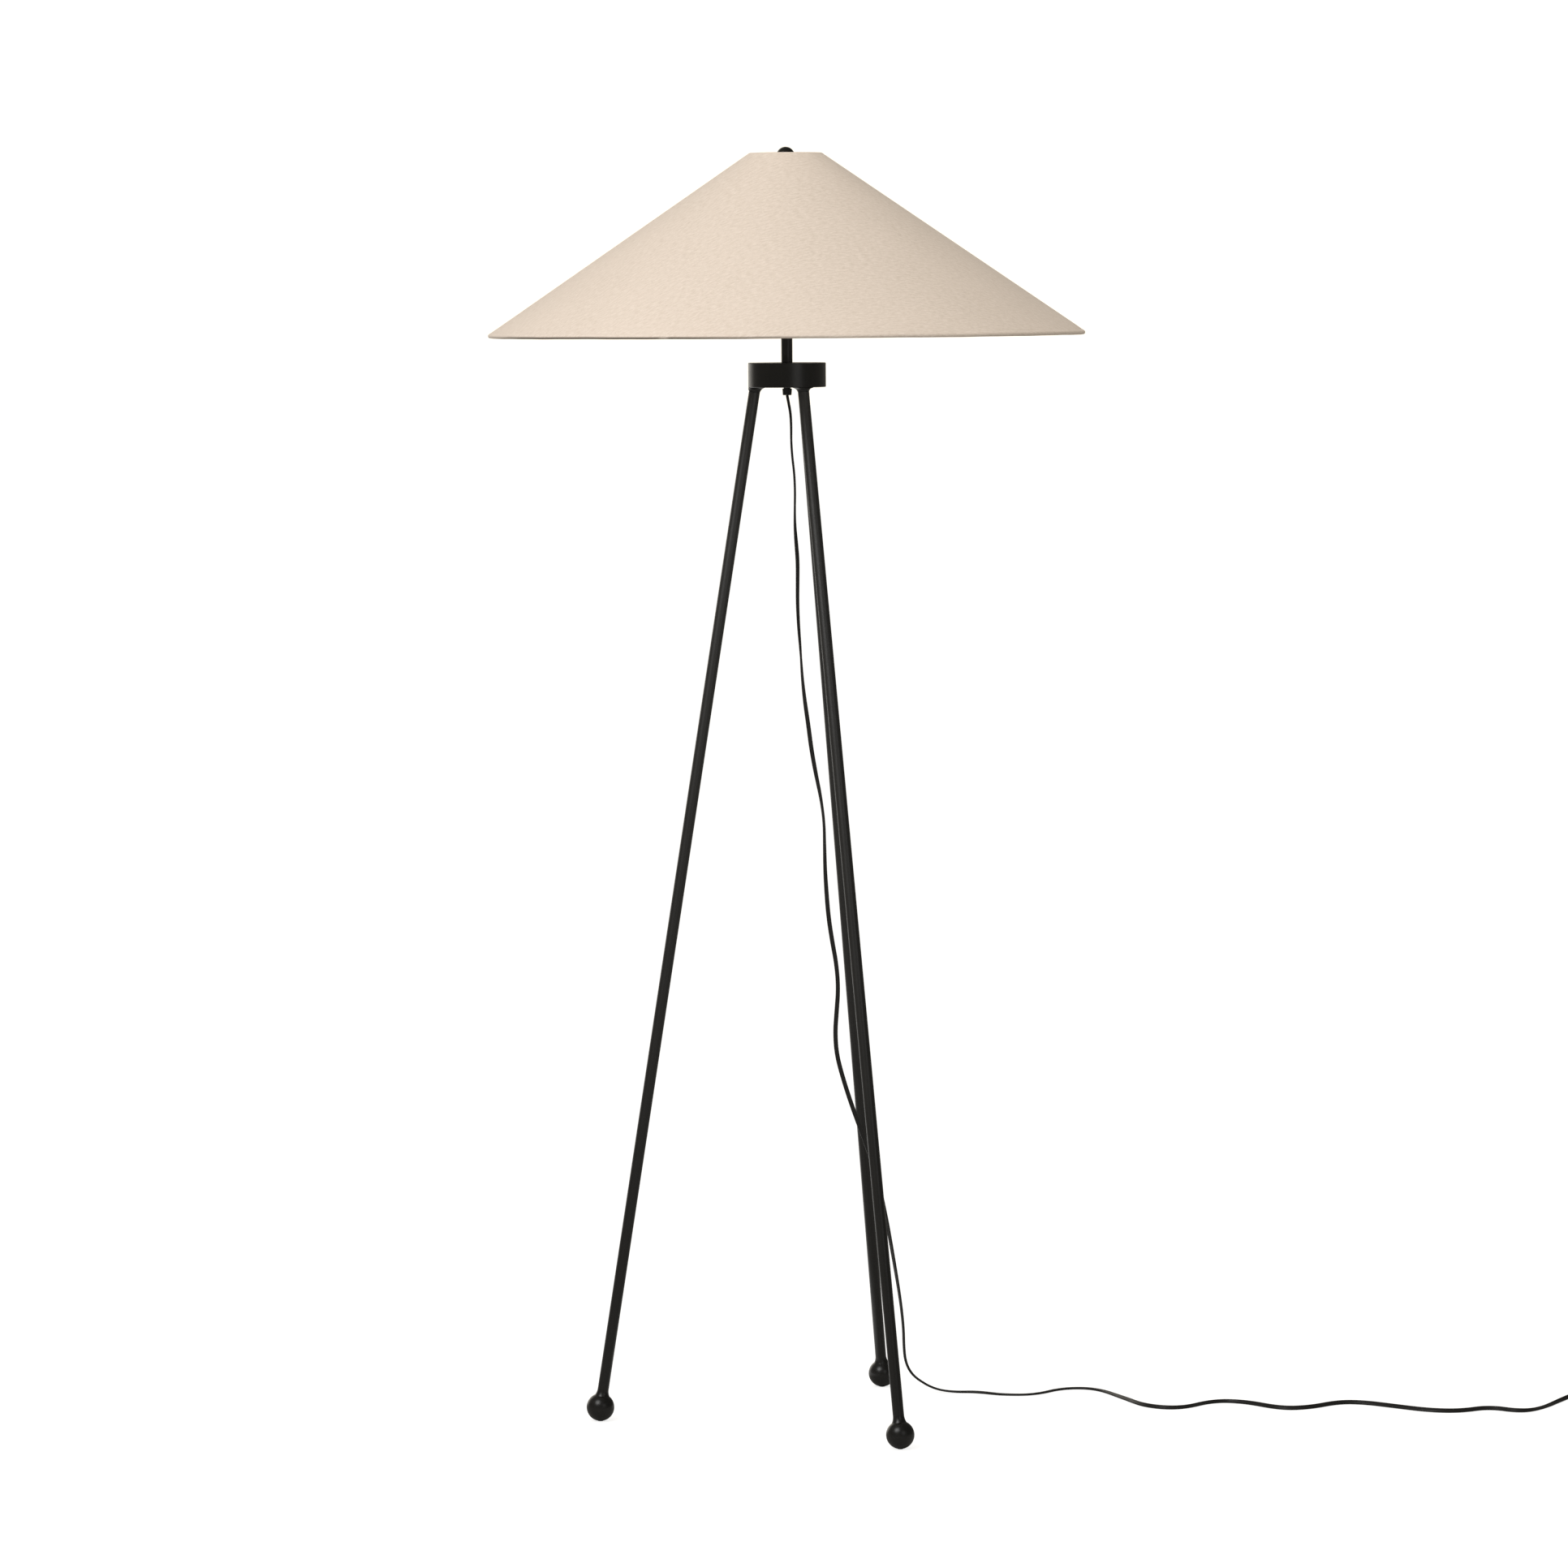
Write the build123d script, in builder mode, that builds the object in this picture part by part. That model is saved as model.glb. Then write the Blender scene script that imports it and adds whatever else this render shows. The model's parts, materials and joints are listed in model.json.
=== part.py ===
"""Tripod floor lamp: three splayed tube legs on ball feet, a round hub and a wide cone shade.

The frame is in millimetres with +Z up. The origin is on the floor below the hub.
-Y is the front of the lamp, and one leg points along -X.
"""

import os
from math import acos, atan2, cos, degrees, pi, radians, sin, sqrt, tan

from build123d import *

os.makedirs("parts", exist_ok=True)

# Gaps shared by every fit
slip_fit = 0.05  # radial, pieces that screw or press together
pass_gap = 0.3  # radial, pieces that pass through or turn inside each other
seat_gap = 0.1  # under a piece that turns or slides on its seat
end_gap = 0.4  # past the end of a stud or screw in its hole

# Tripod
leg_count = 3
leg_step = 360 / leg_count
leg_azimuths = {"left": 180, "front": 180 + leg_step, "rear": 180 - leg_step}
foot_circle_radius = 222.0
leg_inset = 7.8  # from the hub's side to the leg's axis, on the hub's underside
hub_underside = 1179.6  # height above the floor
hub_twist = -2.4  # degrees that the hub sits turned against the feet
leg_diameter = 12.7
leg_wall = 1.2

# Ball feet and their pads
ball_diameter = 31.75
neck_height = 21.5  # from the ball's centre to the end of the leg
neck_root_radius = 8.4
pad_diameter = 6.0
pad_proud = 0.4  # below the ball, which is cut flat round the pad
pad_depth = 3.0  # into the ball

# Studs and inserts at both ends of a leg
stud_diameter = 6.0
stud_depth = 16.0  # into the foot and into each insert
insert_length = 20.0

# Flared sockets under the hub
socket_length = 6.0
socket_fillet = 5.45  # hollow of the flare
socket_fillet_angles = (0, 25, 45, 62, 78)  # degrees round the hollow, from the leg to the hub

# Hub
hub_diameter = 88.0
hub_height = 27.6
hub_roof = 4.0
hub_rim_wall = 1.5
hub_ring_width = 15.0  # solid ring between the hub's side and its cavity
hub_edge = 0.6
plate_thickness = 4.0
hub_screw_inset = 8.5  # from the hub's side
hub_screw_diameter = 4.0
hub_screw_head_diameter = 8.0
hub_screw_head_taper = 45.0  # degrees
hub_screw_length = 14.0
hub_screw_recess_radius = 1.4
hub_screw_recess_depth = 1.6

# Lamp pipe with its nut and the cord grip
pipe_diameter = 8.0
pipe_bore = 6.2
pipe_rise = 6.0  # above the saddle
nut_flats = 13.0
nut_height = 5.0
washer_diameter = 17.0
washer_thickness = 1.0
thread_showing = 1.6  # between the hub and the grip
grip_top_diameter = 11.0
grip_bottom_diameter = 10.0
grip_length = 7.5
grip_floor = 2.0
grip_edge = 0.8

# Stem and harp
stem_length = 35.8
stem_diameter = 12.7
stem_wall = 1.2
saddle_half_span = 27.0
saddle_width = 13.0
saddle_thickness = 1.6
saddle_post_height = 8.0
harp_height = 178.0  # from the saddle to the shoulder that carries the shade
harp_wire_diameter = 3.2
harp_straight = 44.0
harp_belly_half_width = 52.0
harp_belly_start = 80.0
harp_belly_end = 128.0
harp_crown_half_width = 20.0
harp_foot_bend = 40.0
harp_belly_bend = 55.0
harp_crown_bend = 22.0
sleeve_length = 16.0
sleeve_wall = 0.9
collar_diameter = 10.0
collar_height = 5.0
harp_stud_diameter = 6.0
harp_stud_length = 13.0

# Bulb
bulb_thread_diameter = 26.2
bulb_base_height = 27.0
bulb_tip_height = 2.0
bulb_tip_diameter = 9.5
bulb_tip_taper = 30.0  # degrees
bulb_insulator_height = 5.0
bulb_insulator_diameter = 18.0
bulb_thread_depth = 0.7
bulb_thread_pitch = 3.6
bulb_thread_turns = 4
bulb_length = 110.0
bulb_diameter = 60.0
bulb_neck_diameter = 27.5
bulb_glass_wall = 0.8
bulb_flank_angle = 32.0  # degrees below the widest level, where the dome meets the flank

# Lamp holder
cap_base_diameter = 19.0
cap_floor = 1.5
cap_ledge_height = 17.0
cap_ledge_diameter = 27.0
cap_taper_height = 12.0
cap_height = 24.0
cap_wall = 0.7
shell_height = 44.0
shell_wall = 0.6
shell_lip = 1.2
paper_wall = 0.5
core_wall = 1.5
core_base = 16.0
screw_shell_wall = 0.5
screw_shell_height = 25.0
screw_shell_floor_bore = 13.0
contact_height = 1.5
contact_diameter = 7.0
terminal_circle_radius = 8.0
terminal_diameter = 3.0
terminal_head_diameter = 6.0
terminal_head_height = 2.4
terminal_depth = 4.0

# Switch
spindle_diameter = 4.0
spindle_height = 10.0  # above the underside of the holder's core
spindle_depth = 10.0  # into the core
spindle_reach = 6.0  # from the shell to the knob
knob_diameter = 11.0
knob_length = 13.0
knob_bore_depth = 9.0
knob_edge = 0.5
flute_count = 12
flute_radius = 0.9

# Shade
shade_bottom_diameter = 674.0
shade_top_diameter = 85.0
shade_height = 206.0
shade_wire_diameter = 2.6
cover_thickness = 0.6
hem_gap = 0.5
bottom_roll = 230.0  # degrees that the cover goes round the ring
top_roll = 95.0
liner_thickness = 0.5
glue_film = 0.4
liner_inset = 1.5
spider_arms = 3
spider_drop = 16.0  # from the top ring's wire down to the top of the washer
spider_washer_diameter = 26.0
spider_washer_thickness = 2.0
spider_first_arm = 90.0

# Finial
finial_ball_diameter = 21.0
finial_ball_height = 14.7  # from the base to the ball's centre
finial_flange_diameter = 14.0
finial_flange_height = 1.5
finial_neck_diameter = 9.0

# Supply cord, coil, tie and plug
cord_width = 5.2
cord_thickness = 2.6
cord_lead = 14.0  # straight run out of the grip
cord_arc_share = 0.45  # of the shorter run, taken by each arc of the route
coil_inner_radius = 24.0
coil_layer_turns = 1.75
coil_turn_gap = 0.6
tie_gap = 0.3
tie_wall = 0.8
tie_width = 4.0
floor_gap = 0.1
tail_length = 36.0
plug_width = 22.0
plug_thickness = 14.0
plug_length = 25.0
plug_corner = 4.5
plug_edge = 2.5
plug_neck_length = 12.0
plug_neck_diameter = 8.0
plug_neck_root_diameter = 11.0
blade_width = 6.35
blade_thickness = 1.5
blade_length = 17.5
blade_spacing = 12.7
blade_root = 6.0

# Places that follow from the sizes
ball_radius = ball_diameter / 2
leg_radius = leg_diameter / 2
leg_bore_radius = leg_radius - leg_wall
stud_radius = stud_diameter / 2
hub_radius = hub_diameter / 2
leg_circle_radius = hub_radius - leg_inset
hub_top = hub_underside + hub_height
plate_top = hub_underside + plate_thickness
plate_seat_radius = hub_radius - hub_rim_wall
cavity_top = hub_top - hub_roof
hub_screw_azimuth = leg_azimuths["left"] + leg_step / 2  # midway between legs
pipe_radius = pipe_diameter / 2
grip_top = hub_underside - thread_showing
grip_bottom = grip_top - grip_length
saddle_bottom = hub_top + stem_length
saddle_top = saddle_bottom + saddle_thickness
pipe_bottom = grip_bottom + grip_floor
pipe_top = saddle_top + pipe_rise
wire_radius = harp_wire_diameter / 2
shoulder = saddle_top + harp_height
crown = shoulder - collar_height / 2
core_bottom = saddle_top + cap_ledge_height
core_floor = core_bottom + core_base
bulb_tip = core_floor + contact_height + seat_gap
bulb_thread_radius = bulb_thread_diameter / 2
screw_shell_inner = bulb_thread_radius + pass_gap
screw_shell_outer = screw_shell_inner + screw_shell_wall
core_radius = screw_shell_outer + slip_fit + core_wall
paper_inner = core_radius + slip_fit
shell_inner = paper_inner + paper_wall + slip_fit
shell_outer = shell_inner + shell_wall
cap_inner = shell_outer + slip_fit
cap_outer = cap_inner + cap_wall
shell_top = core_bottom + shell_height
core_top = shell_top - shell_wall - slip_fit
washer_bottom = shoulder + seat_gap
washer_top = washer_bottom + spider_washer_thickness
finial_base = washer_top + seat_gap
ring_radius = shade_wire_diameter / 2
hem_radius = ring_radius + hem_gap + cover_thickness
top_ring_height = washer_top + spider_drop
bottom_ring_height = top_ring_height - shade_height + 2 * hem_radius
top_ring_radius = shade_top_diameter / 2 - hem_radius
bottom_ring_radius = shade_bottom_diameter / 2 - hem_radius
cord_radius = cord_width / 2
cord_rest = cord_radius + floor_gap
coil_low = cord_radius + tie_gap + tie_wall + floor_gap
coil_pitch = cord_width + coil_turn_gap


def outward(azimuth):
    """Level direction away from the lamp's axis."""
    return Vector(cos(radians(azimuth)), sin(radians(azimuth)), 0)


def ball_centre(azimuth):
    return outward(azimuth) * foot_circle_radius + Vector(0, 0, ball_radius)


def leg_line(azimuth):
    """From the centre of a leg's ball to the place where its axis meets the hub's underside."""
    head = outward(azimuth + hub_twist) * leg_circle_radius + Vector(0, 0, hub_underside)
    return head - ball_centre(azimuth)


def up_leg(azimuth):
    """Direction along a leg, from its foot to the hub."""
    return leg_line(azimuth).normalized()


def leg_plane(azimuth, distance, upright=0):
    """Plane square to a leg, at a distance up its axis from the centre of its ball.
    It turns level as upright goes from 0 to 1."""
    axis = up_leg(azimuth)
    facing = axis * (1 - upright) + Vector(0, 0, upright)
    return Plane(ball_centre(azimuth) + axis * distance, x_dir=outward(azimuth + 90), z_dir=facing)


def leg_profile_plane(azimuth):
    """Plane through a leg's axis: x is the distance from the axis, y the distance up it."""
    axis = up_leg(azimuth)
    across = axis.cross(outward(azimuth)).normalized()
    return Plane(ball_centre(azimuth), x_dir=across.cross(axis), z_dir=across * -1)


leg_axis_length = leg_line(leg_azimuths["left"]).length
leg_top = leg_axis_length - socket_length
splay = acos((hub_underside - ball_radius) / leg_axis_length)

# Pads, feet, legs and sockets, one of each to a leg
neck_root_height = sqrt(ball_radius**2 - neck_root_radius**2)
neck_root_angle = degrees(atan2(neck_root_height, neck_root_radius))
pad_radius = pad_diameter / 2

for side, azimuth in leg_azimuths.items():
    foot_axis = Axis(tuple(ball_centre(azimuth)), tuple(up_leg(azimuth)))

    with BuildPart() as foot_pad:
        with BuildSketch():
            with Locations(outward(azimuth) * foot_circle_radius):
                Circle(pad_radius)
        extrude(amount=pad_proud + pad_depth)
    foot_pad.part.label = f"foot_pad_{side}"
    export_step(foot_pad.part, f"parts/foot_pad_{side}.step")

    # A turned ball with a neck that flares from the leg, cut flat and bored below for its pad
    with BuildPart() as ball_foot:
        with BuildSketch(leg_profile_plane(azimuth)):
            with BuildLine():
                ball_curve = CenterArc((0, 0), ball_radius, -90, 90 + neck_root_angle)
                flare_curve = TangentArc((leg_radius, neck_height), ball_curve @ 1, tangent=(0, -1))
                Polyline(flare_curve @ 0, (0, neck_height), ball_curve @ 0)
            make_face()
        revolve(axis=foot_axis)
        with BuildSketch(leg_plane(azimuth, neck_height)):
            Circle(stud_radius + slip_fit)
        extrude(amount=-stud_depth - end_gap, mode=Mode.SUBTRACT)
        split(bisect_by=Plane.XY.offset(pad_proud), keep=Keep.TOP)
        with BuildSketch():
            with Locations(outward(azimuth) * foot_circle_radius):
                Circle(pad_radius + slip_fit)
        extrude(amount=pad_proud + pad_depth + end_gap, mode=Mode.SUBTRACT)
    ball_foot.part.label = f"ball_foot_{side}"
    export_step(ball_foot.part, f"parts/ball_foot_{side}.step")

    with BuildPart() as leg_tube:
        with BuildSketch(leg_plane(azimuth, neck_height)):
            Circle(leg_radius)
            Circle(leg_bore_radius, mode=Mode.SUBTRACT)
        extrude(amount=leg_top - neck_height)
    leg_tube.part.label = f"leg_tube_{side}"
    export_step(leg_tube.part, f"parts/leg_tube_{side}.step")

    # A hollow flare from the leg to the hub, trimmed flush with the hub's side
    with BuildPart() as leg_socket:
        for angle in socket_fillet_angles:
            up_socket = socket_fillet * sin(radians(angle))
            with BuildSketch(leg_plane(azimuth, leg_top + up_socket, up_socket / socket_length)):
                Circle(leg_radius + socket_fillet * (1 - cos(radians(angle))))
        with BuildSketch(leg_plane(azimuth, leg_axis_length, 1)):
            Circle(leg_radius + socket_fillet)
        loft()
        with BuildSketch(Plane.XY.offset(hub_underside)):
            Circle(hub_radius)
        extrude(amount=-2 * socket_length, mode=Mode.INTERSECT)
        with BuildSketch(leg_plane(azimuth, leg_top)):
            Circle(stud_radius + slip_fit)
        extrude(amount=2 * socket_length, both=True, mode=Mode.SUBTRACT)
    leg_socket.part.label = f"leg_socket_{side}"
    export_step(leg_socket.part, f"parts/leg_socket_{side}.step")

# Studs and threaded inserts, three of a kind to a node
stud_top = leg_axis_length + plate_thickness / cos(splay) - stud_radius * tan(splay) - end_gap

with BuildPart() as foot_studs:
    for azimuth in leg_azimuths.values():
        with BuildSketch(leg_plane(azimuth, neck_height - stud_depth)):
            Circle(stud_radius)
    extrude(amount=2 * stud_depth)
foot_studs.part.label = "foot_studs"
export_step(foot_studs.part, "parts/foot_studs.step")

with BuildPart() as leg_foot_inserts:
    for azimuth in leg_azimuths.values():
        with BuildSketch(leg_plane(azimuth, neck_height)):
            Circle(leg_bore_radius - slip_fit)
            Circle(stud_radius + slip_fit, mode=Mode.SUBTRACT)
    extrude(amount=insert_length)
leg_foot_inserts.part.label = "leg_foot_inserts"
export_step(leg_foot_inserts.part, "parts/leg_foot_inserts.step")

with BuildPart() as leg_top_inserts:
    for azimuth in leg_azimuths.values():
        with BuildSketch(leg_plane(azimuth, leg_top)):
            Circle(leg_bore_radius - slip_fit)
            Circle(stud_radius + slip_fit, mode=Mode.SUBTRACT)
    extrude(amount=-insert_length)
leg_top_inserts.part.label = "leg_top_inserts"
export_step(leg_top_inserts.part, "parts/leg_top_inserts.step")

with BuildPart() as leg_studs:
    for azimuth in leg_azimuths.values():
        with BuildSketch(leg_plane(azimuth, leg_top - stud_depth)):
            Circle(stud_radius)
    extrude(amount=stud_top - leg_top + stud_depth)
leg_studs.part.label = "leg_studs"
export_step(leg_studs.part, "parts/leg_studs.step")

# Hub: a turned body with a base plate screwed into it from below
screw_radius = hub_screw_diameter / 2
screw_head_radius = hub_screw_head_diameter / 2
screw_head_height = (screw_head_radius - screw_radius) / tan(radians(hub_screw_head_taper))
screw_spacing = (hub_radius - hub_screw_inset, leg_count, hub_screw_azimuth)

with BuildPart() as hub_body:
    with BuildSketch(Plane.XY.offset(hub_underside)):
        Circle(hub_radius)
    extrude(amount=hub_height)
    chamfer(hub_body.edges().filter_by(GeomType.CIRCLE), length=hub_edge)
    with BuildSketch(Plane.XY.offset(hub_underside)):
        Circle(plate_seat_radius)
    extrude(amount=plate_thickness, mode=Mode.SUBTRACT)
    with BuildSketch(Plane.XY.offset(plate_top)):
        Circle(hub_radius - hub_ring_width)
    extrude(amount=cavity_top - plate_top, mode=Mode.SUBTRACT)
    with BuildSketch(Plane.XY.offset(cavity_top)):
        Circle(pipe_radius + slip_fit)
    extrude(amount=hub_roof, mode=Mode.SUBTRACT)
    with BuildSketch(Plane.XY.offset(hub_underside)):
        with PolarLocations(*screw_spacing):
            Circle(screw_radius + slip_fit)
    extrude(amount=hub_screw_length + end_gap, mode=Mode.SUBTRACT)
hub_body.part.label = "hub_body"
export_step(hub_body.part, "parts/hub_body.step")

with BuildPart() as hub_plate:
    with BuildSketch(Plane.XY.offset(hub_underside)):
        Circle(plate_seat_radius - slip_fit)
        Circle(pipe_radius + pass_gap, mode=Mode.SUBTRACT)
        with PolarLocations(*screw_spacing):
            Circle(screw_radius + slip_fit, mode=Mode.SUBTRACT)
    extrude(amount=plate_thickness)
    with BuildSketch(Plane.XY.offset(hub_underside)):
        with PolarLocations(*screw_spacing):
            Circle(screw_head_radius + slip_fit)
    extrude(amount=screw_head_height, taper=hub_screw_head_taper, mode=Mode.SUBTRACT)
    for azimuth in leg_azimuths.values():
        with BuildSketch(leg_plane(azimuth, leg_axis_length)):
            Circle(stud_radius + slip_fit)
    extrude(amount=2 * plate_thickness, both=True, mode=Mode.SUBTRACT)
hub_plate.part.label = "hub_plate"
export_step(hub_plate.part, "parts/hub_plate.step")

with BuildPart() as hub_screws:
    with BuildSketch(Plane.XY.offset(hub_underside)):
        with PolarLocations(*screw_spacing):
            Circle(screw_head_radius - slip_fit)
    extrude(amount=screw_head_height - slip_fit, taper=hub_screw_head_taper)
    with BuildSketch(Plane.XY.offset(hub_underside)):
        with PolarLocations(*screw_spacing):
            Circle(screw_radius - slip_fit)
    extrude(amount=hub_screw_length)
    with BuildSketch(Plane.XY.offset(hub_underside)):
        with PolarLocations(*screw_spacing):
            RegularPolygon(hub_screw_recess_radius, 6)
    extrude(amount=hub_screw_recess_depth, mode=Mode.SUBTRACT)
hub_screws.part.label = "hub_screws"
export_step(hub_screws.part, "parts/hub_screws.step")

# Lamp pipe through hub, stem, saddle and holder, with its nut, washer and cord grip
with BuildPart() as lamp_pipe:
    with BuildSketch(Plane.XY.offset(pipe_bottom)):
        Circle(pipe_radius)
        Circle(pipe_bore / 2, mode=Mode.SUBTRACT)
    extrude(amount=pipe_top - pipe_bottom)
lamp_pipe.part.label = "lamp_pipe"
export_step(lamp_pipe.part, "parts/lamp_pipe.step")

with BuildPart() as pipe_washer:
    with BuildSketch(Plane.XY.offset(cavity_top)):
        Circle(washer_diameter / 2)
        Circle(pipe_radius + slip_fit, mode=Mode.SUBTRACT)
    extrude(amount=-washer_thickness)
pipe_washer.part.label = "pipe_washer"
export_step(pipe_washer.part, "parts/pipe_washer.step")

with BuildPart() as pipe_nut:
    with BuildSketch(Plane.XY.offset(cavity_top - washer_thickness)):
        RegularPolygon(nut_flats / 2, 6, major_radius=False)
        Circle(pipe_radius + slip_fit, mode=Mode.SUBTRACT)
    extrude(amount=-nut_height)
pipe_nut.part.label = "pipe_nut"
export_step(pipe_nut.part, "parts/pipe_nut.step")

with BuildPart() as cord_grip:
    with BuildSketch(Plane.XY.offset(grip_bottom)):
        Circle(grip_bottom_diameter / 2)
    with BuildSketch(Plane.XY.offset(grip_top)):
        Circle(grip_top_diameter / 2)
    loft()
    fillet(cord_grip.edges().group_by(Axis.Z)[0].filter_by(GeomType.CIRCLE), radius=grip_edge)
    with BuildSketch(Plane.XY.offset(pipe_bottom)):
        Circle(pipe_radius + slip_fit)
    extrude(amount=grip_length, mode=Mode.SUBTRACT)
    with BuildSketch(Plane.XY.offset(grip_bottom)):
        SlotOverall(cord_width + 2 * slip_fit, cord_thickness + 2 * slip_fit, rotation=90)
    extrude(amount=grip_floor, mode=Mode.SUBTRACT)
cord_grip.part.label = "cord_grip"
export_step(cord_grip.part, "parts/cord_grip.step")

# Stem, and the saddle that carries the harp on two posts
with BuildPart() as stem_tube:
    with BuildSketch(Plane.XY.offset(hub_top)):
        Circle(stem_diameter / 2)
        Circle(stem_diameter / 2 - stem_wall, mode=Mode.SUBTRACT)
    extrude(amount=stem_length)
stem_tube.part.label = "stem_tube"
export_step(stem_tube.part, "parts/stem_tube.step")

with BuildPart() as harp_saddle:
    with BuildSketch(Plane.XY.offset(saddle_bottom)):
        SlotCenterToCenter(2 * saddle_half_span, saddle_width)
        Circle(pipe_radius + slip_fit, mode=Mode.SUBTRACT)
    extrude(amount=saddle_thickness)
    with BuildSketch(Plane.XY.offset(saddle_top)):
        with GridLocations(2 * saddle_half_span, 0, 2, 1):
            Circle(wire_radius)
    extrude(amount=saddle_post_height)
harp_saddle.part.label = "harp_saddle"
export_step(harp_saddle.part, "parts/harp_saddle.step")

# Harp: one bent wire, whose crown runs through the collar of a threaded stud
with BuildPart() as harp_bow:
    harp_half = [
        (saddle_half_span, saddle_top + saddle_post_height),
        (saddle_half_span, saddle_top + harp_straight),
        (harp_belly_half_width, saddle_top + harp_belly_start),
        (harp_belly_half_width, saddle_top + harp_belly_end),
        (harp_crown_half_width, crown),
    ]
    other_half = [(-x, z) for x, z in reversed(harp_half)]
    half_bends = [harp_foot_bend, harp_belly_bend, harp_belly_bend, harp_crown_bend]
    with BuildLine(Plane.XZ):
        FilletPolyline(*harp_half, *other_half, radius=half_bends + half_bends[::-1])
    with BuildSketch(Plane.XY.offset(saddle_top + saddle_post_height)):
        with Locations((saddle_half_span, 0)):
            Circle(wire_radius)
    sweep()
harp_bow.part.label = "harp_bow"
export_step(harp_bow.part, "parts/harp_bow.step")

with BuildPart() as harp_stud:
    with BuildSketch(Plane.XY.offset(shoulder - collar_height)):
        Circle(collar_diameter / 2)
    extrude(amount=collar_height)
    with BuildSketch(Plane.XY.offset(shoulder)):
        Circle(harp_stud_diameter / 2)
    extrude(amount=harp_stud_length)
    with BuildSketch(Plane.YZ):
        with Locations((0, crown)):
            Circle(wire_radius + slip_fit)
    extrude(amount=collar_diameter, both=True, mode=Mode.SUBTRACT)
harp_stud.part.label = "harp_stud"
export_step(harp_stud.part, "parts/harp_stud.step")

for side, side_sign in {"left": -1, "right": 1}.items():
    with BuildPart() as harp_sleeve:
        with BuildSketch(Plane.XY.offset(saddle_top + seat_gap)):
            with Locations((side_sign * saddle_half_span, 0)):
                Circle(wire_radius + slip_fit + sleeve_wall)
                Circle(wire_radius + slip_fit, mode=Mode.SUBTRACT)
        extrude(amount=sleeve_length)
    harp_sleeve.part.label = f"harp_sleeve_{side}"
    export_step(harp_sleeve.part, f"parts/harp_sleeve_{side}.step")

# Lamp holder: a cap with a ledge that carries core, paper and shell
spindle_level = core_bottom + spindle_height
spindle_plane = Plane((0, 0, spindle_level), x_dir=(1, 0, 0), z_dir=(0, -1, 0))
spindle_hole_radius = spindle_diameter / 2 + pass_gap

with BuildPart() as socket_cap:
    with BuildSketch(Plane.XZ):
        with BuildLine():
            Polyline(
                (pipe_radius + slip_fit, saddle_top),
                (cap_base_diameter / 2, saddle_top),
                (cap_outer, saddle_top + cap_taper_height),
                (cap_outer, saddle_top + cap_height),
                (cap_inner, saddle_top + cap_height),
                (cap_inner, core_bottom),
                (cap_ledge_diameter / 2, core_bottom),
                (cap_ledge_diameter / 2, saddle_top + cap_taper_height),
                (cap_base_diameter / 2 - cap_wall, saddle_top + cap_floor),
                (pipe_radius + slip_fit, saddle_top + cap_floor),
                close=True,
            )
        make_face()
    revolve(axis=Axis.Z)
    with BuildSketch(spindle_plane):
        Circle(spindle_hole_radius)
    extrude(amount=2 * cap_outer, mode=Mode.SUBTRACT)
socket_cap.part.label = "socket_cap"
export_step(socket_cap.part, "parts/socket_cap.step")

with BuildPart() as socket_shell:
    with BuildSketch(Plane.XZ):
        with BuildLine():
            Polyline(
                (shell_inner, core_bottom),
                (shell_outer, core_bottom),
                (shell_outer, shell_top),
                (core_radius - shell_lip, shell_top),
                (core_radius - shell_lip, shell_top - shell_wall),
                (shell_inner, shell_top - shell_wall),
                close=True,
            )
        make_face()
    revolve(axis=Axis.Z)
    with BuildSketch(spindle_plane):
        Circle(spindle_hole_radius)
    extrude(amount=2 * shell_outer, mode=Mode.SUBTRACT)
socket_shell.part.label = "socket_shell"
export_step(socket_shell.part, "parts/socket_shell.step")

with BuildPart() as socket_paper:
    with BuildSketch(Plane.XY.offset(core_bottom)):
        Circle(paper_inner + paper_wall)
        Circle(paper_inner, mode=Mode.SUBTRACT)
    extrude(amount=core_top - core_bottom)
    with BuildSketch(spindle_plane):
        Circle(spindle_hole_radius)
    extrude(amount=2 * shell_outer, mode=Mode.SUBTRACT)
socket_paper.part.label = "socket_paper"
export_step(socket_paper.part, "parts/socket_paper.step")

with BuildPart() as socket_core:
    with BuildSketch(Plane.XY.offset(core_bottom)):
        Circle(core_radius)
    extrude(amount=core_top - core_bottom)
    with BuildSketch(Plane.XY.offset(core_floor)):
        Circle(screw_shell_outer + slip_fit)
    extrude(amount=core_top - core_floor, mode=Mode.SUBTRACT)
    with BuildSketch(spindle_plane.offset(core_radius)):
        Circle(spindle_diameter / 2 + slip_fit)
    extrude(amount=-spindle_depth - end_gap, mode=Mode.SUBTRACT)
    with BuildSketch(Plane.XY.offset(core_bottom)):
        with PolarLocations(terminal_circle_radius, 2, 90):
            Circle(terminal_diameter / 2 + slip_fit)
    extrude(amount=terminal_depth + end_gap, mode=Mode.SUBTRACT)
socket_core.part.label = "socket_core"
export_step(socket_core.part, "parts/socket_core.step")

with BuildPart() as screw_shell:
    with BuildSketch(Plane.XY.offset(core_floor)):
        Circle(screw_shell_outer)
        Circle(screw_shell_floor_bore / 2, mode=Mode.SUBTRACT)
    extrude(amount=screw_shell_height)
    with BuildSketch(Plane.XY.offset(core_floor + screw_shell_wall)):
        Circle(screw_shell_inner)
    extrude(amount=screw_shell_height, mode=Mode.SUBTRACT)
screw_shell.part.label = "screw_shell"
export_step(screw_shell.part, "parts/screw_shell.step")

with BuildPart() as centre_contact:
    with BuildSketch(Plane.XY.offset(core_floor)):
        Circle(contact_diameter / 2)
    extrude(amount=contact_height)
centre_contact.part.label = "centre_contact"
export_step(centre_contact.part, "parts/centre_contact.step")

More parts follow.
